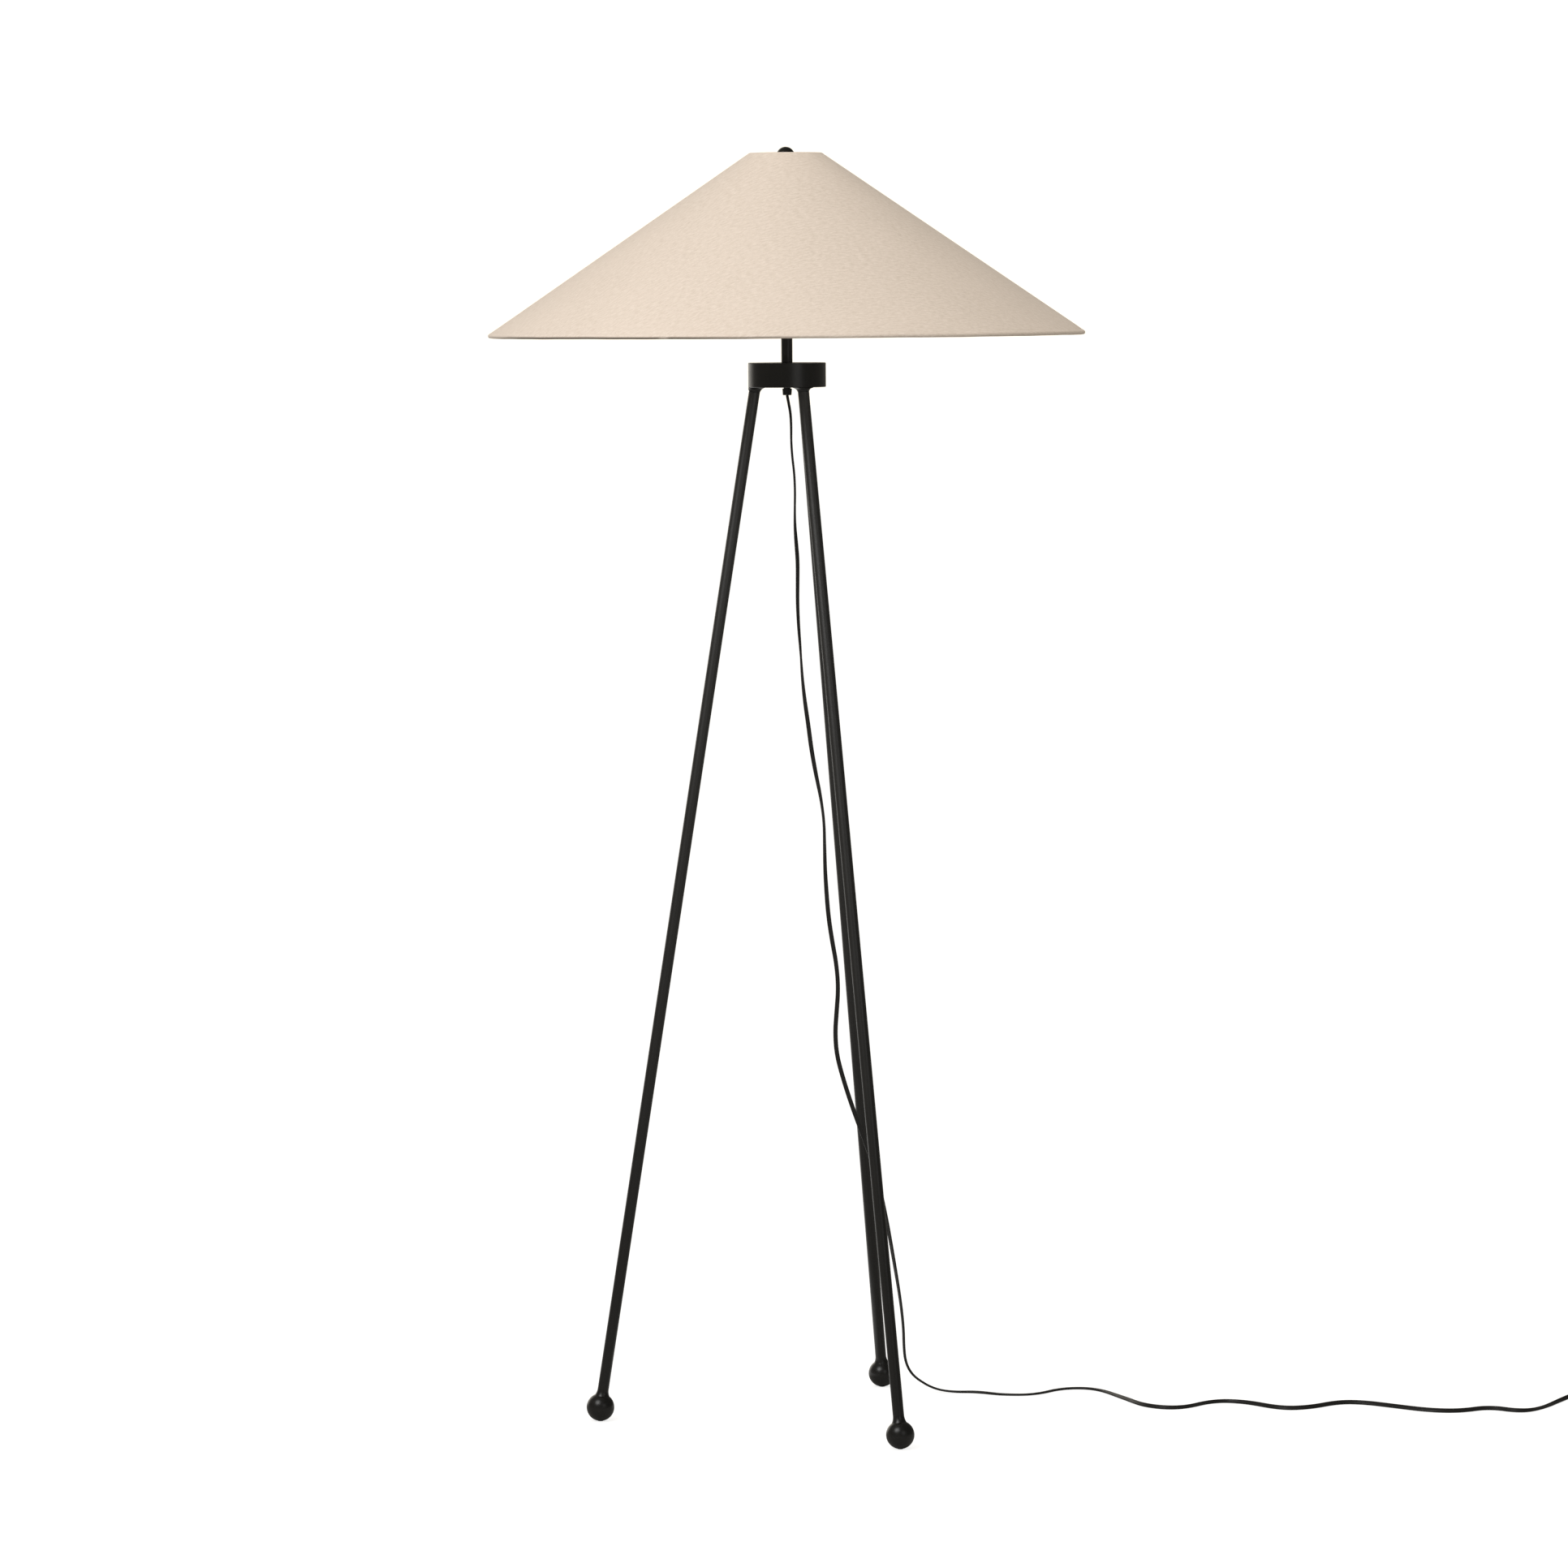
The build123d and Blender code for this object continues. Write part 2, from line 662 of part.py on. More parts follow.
with BuildPart() as terminal_screws:
    with BuildSketch(Plane.XY.offset(core_bottom)):
        with PolarLocations(terminal_circle_radius, 2, 90):
            Circle(terminal_diameter / 2)
    extrude(amount=terminal_depth)
    with BuildSketch(Plane.XY.offset(core_bottom)):
        with PolarLocations(terminal_circle_radius, 2, 90):
            Circle(terminal_head_diameter / 2)
    extrude(amount=-terminal_head_height)
terminal_screws.part.label = "terminal_screws"
export_step(terminal_screws.part, "parts/terminal_screws.step")

# Rotary switch: a spindle into the core and a fluted knob on its end
knob_face = cap_outer + spindle_reach

with BuildPart() as switch_spindle:
    with BuildSketch(spindle_plane.offset(core_radius - spindle_depth)):
        Circle(spindle_diameter / 2)
    extrude(amount=spindle_depth - core_radius + knob_face + knob_bore_depth)
switch_spindle.part.label = "switch_spindle"
export_step(switch_spindle.part, "parts/switch_spindle.step")

with BuildPart() as switch_knob:
    with BuildSketch(spindle_plane.offset(knob_face)):
        Circle(knob_diameter / 2)
        with PolarLocations(knob_diameter / 2, flute_count):
            Circle(flute_radius, mode=Mode.SUBTRACT)
    extrude(amount=knob_length)
    chamfer(switch_knob.faces().sort_by(Axis.Y)[0].edges(), length=knob_edge)
    with BuildSketch(spindle_plane.offset(knob_face)):
        Circle(spindle_diameter / 2 + slip_fit)
    extrude(amount=knob_bore_depth + end_gap, mode=Mode.SUBTRACT)
switch_knob.part.label = "switch_knob"
export_step(switch_knob.part, "parts/switch_knob.step")

# Lead through the pipe, and its two tails to the terminals
with BuildPart() as inner_lead:
    with BuildSketch(Plane.XY.offset(grip_bottom)):
        SlotOverall(cord_width, cord_thickness, rotation=90)
    extrude(amount=pipe_top - grip_bottom)
inner_lead.part.label = "inner_lead"
export_step(inner_lead.part, "parts/inner_lead.step")

tail_radius = cord_thickness / 2 - slip_fit
terminal_underside = core_bottom - terminal_head_height
tail_middle = (pipe_top + terminal_underside) / 2

with BuildPart() as lead_tails:
    for tail_sign in (-1, 1):
        conductor = tail_sign * cord_thickness / 2
        terminal = tail_sign * terminal_circle_radius
        with BuildSketch(Plane.XY.offset(pipe_top)):
            with Locations((0, conductor)):
                Circle(tail_radius)
        with BuildSketch(Plane.XY.offset(tail_middle)):
            with Locations((0, (conductor + terminal) / 2)):
                Circle(tail_radius)
        with BuildSketch(Plane.XY.offset(terminal_underside)):
            with Locations((0, terminal)):
                Circle(tail_radius)
        loft(ruled=True)
lead_tails.part.label = "lead_tails"
export_step(lead_tails.part, "parts/lead_tails.step")

# Bulb: tip, insulator, ridged base and glass
bulb_insulator_bottom = bulb_tip + bulb_tip_height
bulb_base_bottom = bulb_insulator_bottom + bulb_insulator_height
bulb_base_top = bulb_tip + bulb_base_height
bulb_top = bulb_tip + bulb_length
bulb_radius = bulb_diameter / 2
thread_root_radius = bulb_thread_radius - bulb_thread_depth
neck_radius = bulb_neck_diameter / 2

with BuildPart() as bulb_contact:
    with BuildSketch(Plane.XY.offset(bulb_insulator_bottom)):
        Circle(bulb_tip_diameter / 2)
    extrude(amount=-bulb_tip_height, taper=bulb_tip_taper)
bulb_contact.part.label = "bulb_contact"
export_step(bulb_contact.part, "parts/bulb_contact.step")

with BuildPart() as bulb_insulator:
    with BuildSketch(Plane.XY.offset(bulb_insulator_bottom)):
        Circle(bulb_insulator_diameter / 2)
    with BuildSketch(Plane.XY.offset(bulb_base_bottom)):
        Circle(thread_root_radius)
    loft()
bulb_insulator.part.label = "bulb_insulator"
export_step(bulb_insulator.part, "parts/bulb_insulator.step")

with BuildPart() as bulb_base:
    with BuildSketch(Plane.XY.offset(bulb_base_bottom)):
        Circle(thread_root_radius)
    extrude(amount=bulb_base_top - bulb_base_bottom)
    for ridge in range(bulb_thread_turns):
        ridge_level = bulb_base_bottom + (ridge + 0.5) * bulb_thread_pitch
        with BuildSketch(Plane.XZ):
            with BuildLine():
                Polyline(
                    (0, ridge_level - bulb_thread_pitch / 3),
                    (thread_root_radius, ridge_level - bulb_thread_pitch / 3),
                    (bulb_thread_radius, ridge_level),
                    (thread_root_radius, ridge_level + bulb_thread_pitch / 3),
                    (0, ridge_level + bulb_thread_pitch / 3),
                    close=True,
                )
            make_face()
        revolve(axis=Axis.Z)
bulb_base.part.label = "bulb_base"
export_step(bulb_base.part, "parts/bulb_base.step")

# The dome is part of a ball; below it the flank runs in to the neck
dome_centre = bulb_top - bulb_radius

with BuildPart() as bulb_glass:
    with BuildSketch(Plane.XZ):
        with BuildLine():
            dome = CenterArc((0, dome_centre), bulb_radius, 90, -90 - bulb_flank_angle)
            flank = TangentArc((neck_radius, bulb_base_top), dome @ 1, tangent=(0, 1))
            Polyline(flank @ 0, (0, bulb_base_top), dome @ 0)
        make_face()
    revolve(axis=Axis.Z)
    offset(amount=-bulb_glass_wall, openings=bulb_glass.faces().sort_by(Axis.Z)[0])
bulb_glass.part.label = "bulb_glass"
export_step(bulb_glass.part, "parts/bulb_glass.step")

# Shade: a cover rolled round two wire rings, with a liner behind it
slope = Vector(top_ring_radius - bottom_ring_radius, top_ring_height - bottom_ring_height)
slant_length = slope.length
along = slope / slant_length
normal = Vector(along.Y, -along.X)
normal_angle = degrees(atan2(normal.Y, normal.X))
bottom_wire = Vector(bottom_ring_radius, bottom_ring_height)
top_wire = Vector(top_ring_radius, top_ring_height)

with BuildPart() as shade_cover:
    with BuildSketch(Plane.XZ):
        with BuildLine():
            hem_inside = hem_radius - cover_thickness
            bottom_outer = CenterArc(bottom_wire, hem_radius, normal_angle, -bottom_roll)
            bottom_inner = CenterArc(bottom_wire, hem_inside, normal_angle, -bottom_roll)
            top_outer = CenterArc(top_wire, hem_radius, normal_angle, top_roll)
            top_inner = CenterArc(top_wire, hem_inside, normal_angle, top_roll)
            Line(bottom_outer @ 0, top_outer @ 0)
            Line(bottom_inner @ 0, top_inner @ 0)
            Line(bottom_outer @ 1, bottom_inner @ 1)
            Line(top_outer @ 1, top_inner @ 1)
        make_face()
    revolve(axis=Axis.Z)
shade_cover.part.label = "shade_cover"
export_step(shade_cover.part, "parts/shade_cover.step")

with BuildPart() as shade_liner:
    liner_outside = hem_radius - cover_thickness - glue_film
    with BuildSketch(Plane.XZ):
        with BuildLine():
            liner_corner = bottom_wire + along * liner_inset + normal * liner_outside
            far_corner = top_wire - along * liner_inset + normal * liner_outside
            Polyline(
                liner_corner,
                far_corner,
                far_corner - normal * liner_thickness,
                liner_corner - normal * liner_thickness,
                close=True,
            )
        make_face()
    revolve(axis=Axis.Z)
shade_liner.part.label = "shade_liner"
export_step(shade_liner.part, "parts/shade_liner.step")

with BuildPart() as shade_bottom_ring:
    with BuildSketch(Plane.XZ):
        with Locations(bottom_wire):
            Circle(ring_radius)
    revolve(axis=Axis.Z)
shade_bottom_ring.part.label = "shade_bottom_ring"
export_step(shade_bottom_ring.part, "parts/shade_bottom_ring.step")

# The top ring, its three arms and the washer are one welding
arm_inner = Vector(spider_washer_diameter / 2 - ring_radius, washer_top - ring_radius)
arm_reach = top_wire - arm_inner

with BuildPart() as shade_spider:
    with BuildSketch(Plane.XZ):
        with Locations(top_wire):
            Circle(ring_radius)
    revolve(axis=Axis.Z)
    for arm in range(spider_arms):
        arm_direction = outward(spider_first_arm + 360 * arm / spider_arms)
        arm_start = arm_direction * arm_inner.X + Vector(0, 0, arm_inner.Y)
        arm_axis = arm_direction * arm_reach.X + Vector(0, 0, arm_reach.Y)
        with BuildSketch(Plane(arm_start, z_dir=arm_axis)):
            Circle(ring_radius)
        extrude(amount=arm_reach.length)
    with BuildSketch(Plane.XY.offset(washer_bottom)):
        Circle(spider_washer_diameter / 2)
    extrude(amount=spider_washer_thickness)
    with BuildSketch(Plane.XY.offset(washer_bottom)):
        Circle(harp_stud_diameter / 2 + pass_gap)
    extrude(amount=2 * spider_washer_thickness, both=True, mode=Mode.SUBTRACT)
    split(bisect_by=Plane.XY.offset(washer_bottom), keep=Keep.TOP)
shade_spider.part.label = "shade_spider"
export_step(shade_spider.part, "parts/shade_spider.step")

# Finial: flange, neck and ball, bored for the harp's stud
finial_ball_centre = finial_base + finial_ball_height
flange_radius = finial_flange_diameter / 2
finial_neck_radius = finial_neck_diameter / 2
finial_radius = finial_ball_diameter / 2
ball_meets_neck = -degrees(atan2(sqrt(finial_radius**2 - finial_neck_radius**2), finial_neck_radius))

with BuildPart() as finial:
    with BuildSketch(Plane.XZ):
        with BuildLine():
            ball = CenterArc((0, finial_ball_centre), finial_radius, 90, ball_meets_neck - 90)
            Polyline(
                ball @ 1,
                (finial_neck_radius, finial_base + finial_flange_height),
                (flange_radius, finial_base + finial_flange_height),
                (flange_radius, finial_base),
                (0, finial_base),
                ball @ 0,
            )
        make_face()
    revolve(axis=Axis.Z)
    with BuildSketch(Plane.XY.offset(finial_base)):
        Circle(harp_stud_diameter / 2 + slip_fit)
    extrude(amount=shoulder + harp_stud_length + end_gap - finial_base, mode=Mode.SUBTRACT)
finial.part.label = "finial"
export_step(finial.part, "parts/finial.step")

# Supply cord: from the grip it swings out behind the front leg and wanders over the floor
cord_route = [
    Vector(0, 0, grip_bottom),
    Vector(0, 0, grip_bottom - cord_lead),
    Vector(5, 1, 1131),
    Vector(5, 2, 1089),
    Vector(9, 4, 1047),
    Vector(8, 6, 1003),
    Vector(11, 8, 957),
    Vector(11, 11, 905),
    Vector(15, 14, 853),
    Vector(20, 18, 800),
    Vector(31, 21, 742),
    Vector(41, 25, 684),
    Vector(41, 31, 626),
    Vector(44, 36, 572),
    Vector(57, 41, 514),
    Vector(54, 50, 462),
    Vector(51, 58, 419),
    Vector(62, 66, 373),
    Vector(81, 74, 325),
    Vector(94, 88, 271),
    Vector(107, 105, 216),
    Vector(119, 122, 160),
    Vector(130, 136, 112),
    Vector(134, 145, 76),
    Vector(134, 150, 46),
    Vector(139, 151, 21),
    Vector(156, 150, 7),
    Vector(184, 147, cord_rest),
    Vector(216, 147, cord_rest),
    Vector(250, 116, cord_rest),
    Vector(286, 112, cord_rest),
    Vector(322, 164, cord_rest),
    Vector(362, 156, cord_rest),
    Vector(386, 98, cord_rest),
    Vector(408, 32, cord_rest),
    Vector(446, 13, cord_rest),
    Vector(488, 54, cord_rest),
    Vector(524, 55, cord_rest),
    Vector(560, 6, cord_rest),
    Vector(594, 3, cord_rest),
    Vector(632, 40, cord_rest),
    Vector(662, 38, cord_rest),
    Vector(692, 2, cord_rest),
    Vector(730, -18, cord_rest),
    Vector(764, -29, cord_rest),
    Vector(800, -9, cord_rest),
    Vector(832, -27, cord_rest),
    Vector(862, -10, cord_rest),
    Vector(894, 36, cord_rest),
    Vector(920, 72, coil_low),
    Vector(938, 94, coil_low),
]
cord_radii = []
for before, corner, after in zip(cord_route, cord_route[1:], cord_route[2:]):
    arriving = corner - before
    leaving = after - corner
    half_turn = radians(arriving.get_angle(leaving)) / 2
    cord_radii.append(cord_arc_share * min(arriving.length, leaving.length) / tan(half_turn))

with BuildPart() as supply_cord:
    with BuildLine() as cord_path:
        FilletPolyline(*cord_route, radius=cord_radii)
    with BuildSketch(Plane(cord_route[0], z_dir=cord_route[1] - cord_route[0])):
        Circle(cord_radius)
    sweep()
supply_cord.part.label = "supply_cord"
export_step(supply_cord.part, "parts/supply_cord.step")

cord_length = cord_path.wire().length
print("cord radii", [round(radius) for radius in cord_radii])
print("cord length", round(cord_length), "volume", round(supply_cord.part.volume))
print("section times length", round(pi * cord_radius**2 * cord_length))

# Coil of the put-away end: in and out again in two layers, turning clockwise from above
coil_middle = coil_layer_turns + 0.25
coil_turns = 2 * coil_middle
coil_outer_radius = coil_inner_radius + coil_pitch * coil_middle
coil_heading = (cord_route[-1] - cord_route[-2]).normalized()
heading_angle = degrees(atan2(coil_heading.Y, coil_heading.X))
coil_slant = degrees(atan2(coil_pitch, 2 * pi * coil_outer_radius))
coil_first_angle = heading_angle + 90 + coil_slant
coil_start = cord_route[-1] + coil_heading * cord_width
coil_centre = coil_start - outward(coil_first_angle) * coil_outer_radius


def coil_place(turn):
    """Centre of the cord after so many turns; the climb is in the half turn at the middle."""
    past_middle = turn - coil_middle
    if abs(past_middle) < 0.25:
        radius = coil_inner_radius + coil_pitch * (2 * past_middle**2 + 0.125)
        climb = coil_pitch * (1 + sin(2 * pi * past_middle)) / 2
    else:
        radius = coil_inner_radius + coil_pitch * abs(past_middle)
        climb = coil_pitch if past_middle > 0 else 0
    return coil_centre + outward(coil_first_angle - 360 * turn) * radius + Vector(0, 0, climb)


def coil_direction(turn):
    step = 0.0001
    return (coil_place(turn + step) - coil_place(turn - step)).normalized()


def add_biarc(start, start_direction, end, end_direction):
    """Two tangent arcs between two places with their directions."""
    chord = end - start
    a = 2 * (start_direction.dot(end_direction) - 1)
    b = -2 * chord.dot(start_direction + end_direction)
    c = chord.dot(chord)
    reach = 2 * c / (sqrt(b * b - 4 * a * c) - b)
    start_reach = start + start_direction * reach
    end_reach = end - end_direction * reach
    joint = (start_reach + end_reach) / 2
    TangentArc(start, joint, tangent=start_direction)
    TangentArc(joint, end, tangent=end_reach - start_reach)


plug_axis_height = plug_thickness / 2 + floor_gap
coil_leaves = coil_place(coil_turns)
tail_direction = coil_direction(coil_turns)
tail_end = coil_leaves + tail_direction * tail_length
tail_end = Vector(tail_end.X, tail_end.Y, plug_axis_height)
cord_end = tail_end + tail_direction * cord_width

with BuildPart() as cord_coil:
    with BuildLine() as coil_path:
        Line(cord_route[-1], coil_start)
        quarter_turns = [quarter / 4 for quarter in range(round(4 * coil_turns))]
        for turn in quarter_turns:
            turn_after = turn + 0.25
            place_after = coil_place(turn_after)
            add_biarc(coil_place(turn), coil_direction(turn), place_after, coil_direction(turn_after))
        add_biarc(coil_leaves, tail_direction, tail_end, tail_direction)
        Line(tail_end, cord_end)
    with BuildSketch(Plane(cord_route[-1], z_dir=coil_heading)):
        Circle(cord_radius)
    sweep()
cord_coil.part.label = "cord_coil"
export_step(cord_coil.part, "parts/cord_coil.step")

coil_length = coil_path.wire().length
sample_count = 500
coil_samples = [coil_path.wire() @ (index / sample_count) for index in range(sample_count + 1)]
apart = round(sample_count * 4 * cord_width / coil_length)
least_gap = min(
    (coil_samples[first] - coil_samples[second]).length
    for first in range(sample_count + 1)
    for second in range(first + apart, sample_count + 1)
)
print("coil length", round(coil_length), "least gap to itself", round(least_gap - cord_width, 2))
print("coil volume", round(cord_coil.part.volume))
print("section times length", round(pi * cord_radius**2 * coil_length))

# Tie: a flat band round the coil, opposite the place where the cord enters it
tie_direction = outward(coil_first_angle + 180)
tie_centre = coil_centre + tie_direction * (coil_inner_radius + coil_pitch) + Vector(0, 0, coil_pitch / 2)
tie_plane = Plane(tie_centre, x_dir=tie_direction, z_dir=outward(coil_first_angle + 270))
tie_inner = coil_pitch + cord_width + 2 * tie_gap
tie_outer = tie_inner + 2 * tie_wall

with BuildPart() as cord_tie:
    with BuildSketch(tie_plane):
        RectangleRounded(tie_outer, tie_outer, cord_radius)
        RectangleRounded(tie_inner, tie_inner, cord_radius - tie_wall, mode=Mode.SUBTRACT)
    extrude(amount=tie_width / 2, both=True)
cord_tie.part.label = "cord_tie"
export_step(cord_tie.part, "parts/cord_tie.step")

# Plug: a moulded body with a tapered neck, lying beside the coil, and two flat blades
plug_forward = Vector(tail_direction.X, tail_direction.Y, 0)
plug_left = Vector(-tail_direction.Y, tail_direction.X, 0)
neck_plane = Plane(cord_end, x_dir=plug_left, z_dir=plug_forward)
body_plane = neck_plane.offset(plug_neck_length)
blade_plane = body_plane.offset(plug_length - blade_root)

with BuildPart() as plug_body:
    with BuildSketch(body_plane):
        RectangleRounded(plug_width, plug_thickness, plug_corner)
    extrude(amount=plug_length)
    end_faces = plug_body.faces().sort_by(Axis(cord_end, plug_forward))
    fillet(end_faces[0].edges() + end_faces[-1].edges(), radius=plug_edge)
    with BuildSketch(neck_plane):
        Circle(plug_neck_diameter / 2)
    with BuildSketch(body_plane):
        Circle(plug_neck_root_diameter / 2)
    loft()
    with BuildSketch(blade_plane):
        with GridLocations(blade_spacing, 0, 2, 1):
            Rectangle(blade_thickness + 2 * slip_fit, blade_width + 2 * slip_fit)
    extrude(amount=blade_root, mode=Mode.SUBTRACT)
plug_body.part.label = "plug_body"
export_step(plug_body.part, "parts/plug_body.step")

with BuildPart() as plug_blades:
    with BuildSketch(blade_plane):
        with GridLocations(blade_spacing, 0, 2, 1):
            Rectangle(blade_thickness, blade_width)
    extrude(amount=blade_root + blade_length)
plug_blades.part.label = "plug_blades"
export_step(plug_blades.part, "parts/plug_blades.step")
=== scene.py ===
import json

import bpy
import numpy as np
from mathutils import Matrix, Vector

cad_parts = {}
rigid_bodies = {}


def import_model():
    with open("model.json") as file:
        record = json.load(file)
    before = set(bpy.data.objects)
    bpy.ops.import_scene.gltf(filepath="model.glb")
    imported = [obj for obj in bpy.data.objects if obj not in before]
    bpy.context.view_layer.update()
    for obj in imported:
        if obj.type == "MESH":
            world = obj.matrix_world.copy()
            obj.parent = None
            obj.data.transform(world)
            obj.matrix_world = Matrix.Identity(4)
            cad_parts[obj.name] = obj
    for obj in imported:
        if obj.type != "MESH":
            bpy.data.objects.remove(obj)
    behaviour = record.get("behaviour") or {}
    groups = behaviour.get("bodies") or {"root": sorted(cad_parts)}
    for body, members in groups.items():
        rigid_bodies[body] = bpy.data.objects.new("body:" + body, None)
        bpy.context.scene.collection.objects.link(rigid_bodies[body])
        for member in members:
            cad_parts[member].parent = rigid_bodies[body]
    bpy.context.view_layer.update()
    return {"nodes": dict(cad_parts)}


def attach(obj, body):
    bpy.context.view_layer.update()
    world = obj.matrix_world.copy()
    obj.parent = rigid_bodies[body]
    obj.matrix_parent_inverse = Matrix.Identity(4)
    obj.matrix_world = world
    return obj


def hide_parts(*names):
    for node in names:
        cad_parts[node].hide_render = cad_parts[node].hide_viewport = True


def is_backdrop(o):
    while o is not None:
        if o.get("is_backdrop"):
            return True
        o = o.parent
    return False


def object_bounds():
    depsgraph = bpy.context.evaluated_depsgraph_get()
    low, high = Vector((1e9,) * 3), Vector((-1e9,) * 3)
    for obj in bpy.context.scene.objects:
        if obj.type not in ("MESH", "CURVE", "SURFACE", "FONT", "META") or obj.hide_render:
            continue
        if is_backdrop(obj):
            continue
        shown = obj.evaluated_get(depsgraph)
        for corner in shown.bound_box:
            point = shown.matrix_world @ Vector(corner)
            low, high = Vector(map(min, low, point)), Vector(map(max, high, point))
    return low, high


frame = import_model()

# Foot pads: buttons of black rubber, pressed into the undersides of the ball feet.
# They are dull, with a fine pebbled grain and a little grey floor dust.


def start_finish(name, colour, roughness, metallic=0.0, specular=0.5):
    """A new finish: one shader with its even values set, and its node tree for what varies."""
    finish = bpy.data.materials.new(name)
    finish.use_nodes = True
    tree = finish.node_tree
    shader = tree.nodes["Principled BSDF"]
    shader.inputs["Base Color"].default_value = (*colour, 1.0)
    shader.inputs["Roughness"].default_value = roughness
    shader.inputs["Metallic"].default_value = metallic
    shader.inputs["Specular IOR Level"].default_value = specular
    return finish, tree, shader


def add_node(tree, kind, inputs=None, **settings):
    """A node of that kind. Inputs are values to set, or sockets of other nodes to link from."""
    node = tree.nodes.new(kind)
    for setting, value in settings.items():
        setattr(node, setting, value)
    for socket, value in (inputs or {}).items():
        if isinstance(value, bpy.types.NodeSocket):
            tree.links.new(value, node.inputs[socket])
        else:
            node.inputs[socket].default_value = value
    return node


def add_grain(tree, scale, detail=3.0, stretch=(1.0, 1.0, 1.0), place="Object"):
    """Noise of so many lumps to the metre on the piece's own coordinates, stretched by axis."""
    source = add_node(tree, "ShaderNodeTexCoord").outputs[place]
    scaled = add_node(tree, "ShaderNodeMapping", {"Vector": source, "Scale": stretch})
    noise = add_node(tree, "ShaderNodeTexNoise", {
        "Vector": scaled.outputs["Vector"], "Scale": scale, "Detail": detail})
    return noise.outputs["Fac"]


def spread(tree, fac, low, high, to_low, to_high):
    """A value from one range carried to another in a straight line, held at both ends."""
    ranged = add_node(tree, "ShaderNodeMapRange", {
        "Value": fac, "From Min": low, "From Max": high, "To Min": to_low, "To Max": to_high})
    return ranged.outputs["Result"]


def between(tree, fac, first, second):
    """A colour that goes from the first to the second as the value goes from 0 to 1."""
    mixed = add_node(tree, "ShaderNodeMix", data_type="RGBA")
    tree.links.new(fac, mixed.inputs[0])
    for socket, colour in ((6, first), (7, second)):
        if isinstance(colour, bpy.types.NodeSocket):
            tree.links.new(colour, mixed.inputs[socket])
        else:
            mixed.inputs[socket].default_value = (*colour, 1.0)
    return mixed.outputs[2]


def mottle(tree, shader, grain, colours=None, roughness=None):
    """Colour and roughness that each go from a first to a second value with a grain. The roughness
    does so while the grain goes from 0.3 to 0.7, where most of any noise lies."""
    if colours:
        tree.links.new(between(tree, grain, *colours), shader.inputs["Base Color"])
    if roughness:
        tree.links.new(spread(tree, grain, 0.3, 0.7, *roughness), shader.inputs["Roughness"])


def add_bump(tree, shader, height, depth, strength=1.0):
    """Bump so many metres deep where the height goes from 0 to 1."""
    bump = add_node(tree, "ShaderNodeBump", {"Height": height, "Distance": depth, "Strength": strength})
    tree.links.new(bump.outputs["Normal"], shader.inputs["Normal"])


def coat(finish, *names):
    """Puts a finish on CAD nodes, in place of the plain one they came with."""
    for name in names:
        materials = frame["nodes"][name].data.materials
        materials.clear()
        materials.append(finish)


pad_black, pad_dusty = (0.022, 0.021, 0.021), (0.13, 0.125, 0.115)
pad_rubber, tree, shader = start_finish("pad_rubber", pad_black, 0.85)
dust = spread(tree, add_grain(tree, 180.0), 0.52, 0.75, 0.0, 0.35)
mottle(tree, shader, dust, (pad_black, pad_dusty))
add_bump(tree, shader, add_grain(tree, 2600.0), 0.0001)
coat(pad_rubber, "foot_pad_left", "foot_pad_front", "foot_pad_rear")

# Ball feet, leg tubes, sockets, hub and stem: turned steel and half-inch steel tube, screwed
# together on studs and powder coated satin black, with the coat's faint orange peel. On the tubes
# the coat gets a little duller and more reflective towards the top.


def powder_coat(name, roughness):
    """Black that is lighter where it is rougher, in soft patches, under a fine orange peel."""
    finish, tree, shader = start_finish(name, (0.0048, 0.0045, 0.0041), sum(roughness) / 2)
    patches = add_grain(tree, 24.0, detail=4.0)
    mottle(tree, shader, patches, ((0.0040, 0.0037, 0.0034), (0.0056, 0.0053, 0.0048)), roughness)
    add_bump(tree, shader, add_grain(tree, 900.0, detail=2.0), 0.00003, strength=0.5)
    return finish, tree, shader


def add_maths(tree, operation, *values):
    """The result of a sum, product or other operation on values or sockets."""
    return add_node(tree, "ShaderNodeMath", dict(enumerate(values)), operation=operation).outputs[0]


black_coat, tree, shader = powder_coat("black_coat", (0.29, 0.35))
coat(black_coat, "hub_body", "hub_plate", "stem_tube")

tube_coat, tree, shader = powder_coat("tube_coat", (0.33, 0.38))
tube_low, tube_high = 0.2, 1.0
place = add_node(tree, "ShaderNodeTexCoord").outputs["Object"]
level = add_node(tree, "ShaderNodeSeparateXYZ", {"Vector": place}).outputs["Z"]
reflective = spread(tree, level, tube_low, tube_high, 0.52, 0.95)
tree.links.new(reflective, shader.inputs["Specular IOR Level"])
patchy = shader.inputs["Roughness"].links[0].from_socket
duller = spread(tree, level, tube_low, tube_high, 0.0, 0.09)
tree.links.new(add_maths(tree, "ADD", patchy, duller), shader.inputs["Roughness"])
for side in ("left", "front", "rear"):
    coat(black_coat, f"ball_foot_{side}", f"leg_socket_{side}")
    coat(tube_coat, f"leg_tube_{side}")

# Studs, inserts, screws, washer and nut: steel with bright zinc, turned or rolled.
# They draw the tripod and the hub together, and almost all of them is out of sight.
zinc, tree, shader = start_finish("zinc", (0.55, 0.56, 0.58), 0.36, metallic=1.0)
spangle = add_grain(tree, 420.0, detail=4.0)
mottle(tree, shader, spangle, ((0.42, 0.43, 0.45), (0.66, 0.67, 0.69)), (0.26, 0.48))
add_bump(tree, shader, add_grain(tree, 5000.0, stretch=(1.0, 1.0, 8.0)), 0.00002)
coat(zinc, "foot_studs", "leg_studs", "leg_foot_inserts", "leg_top_inserts",
     "hub_screws", "pipe_washer", "pipe_nut")

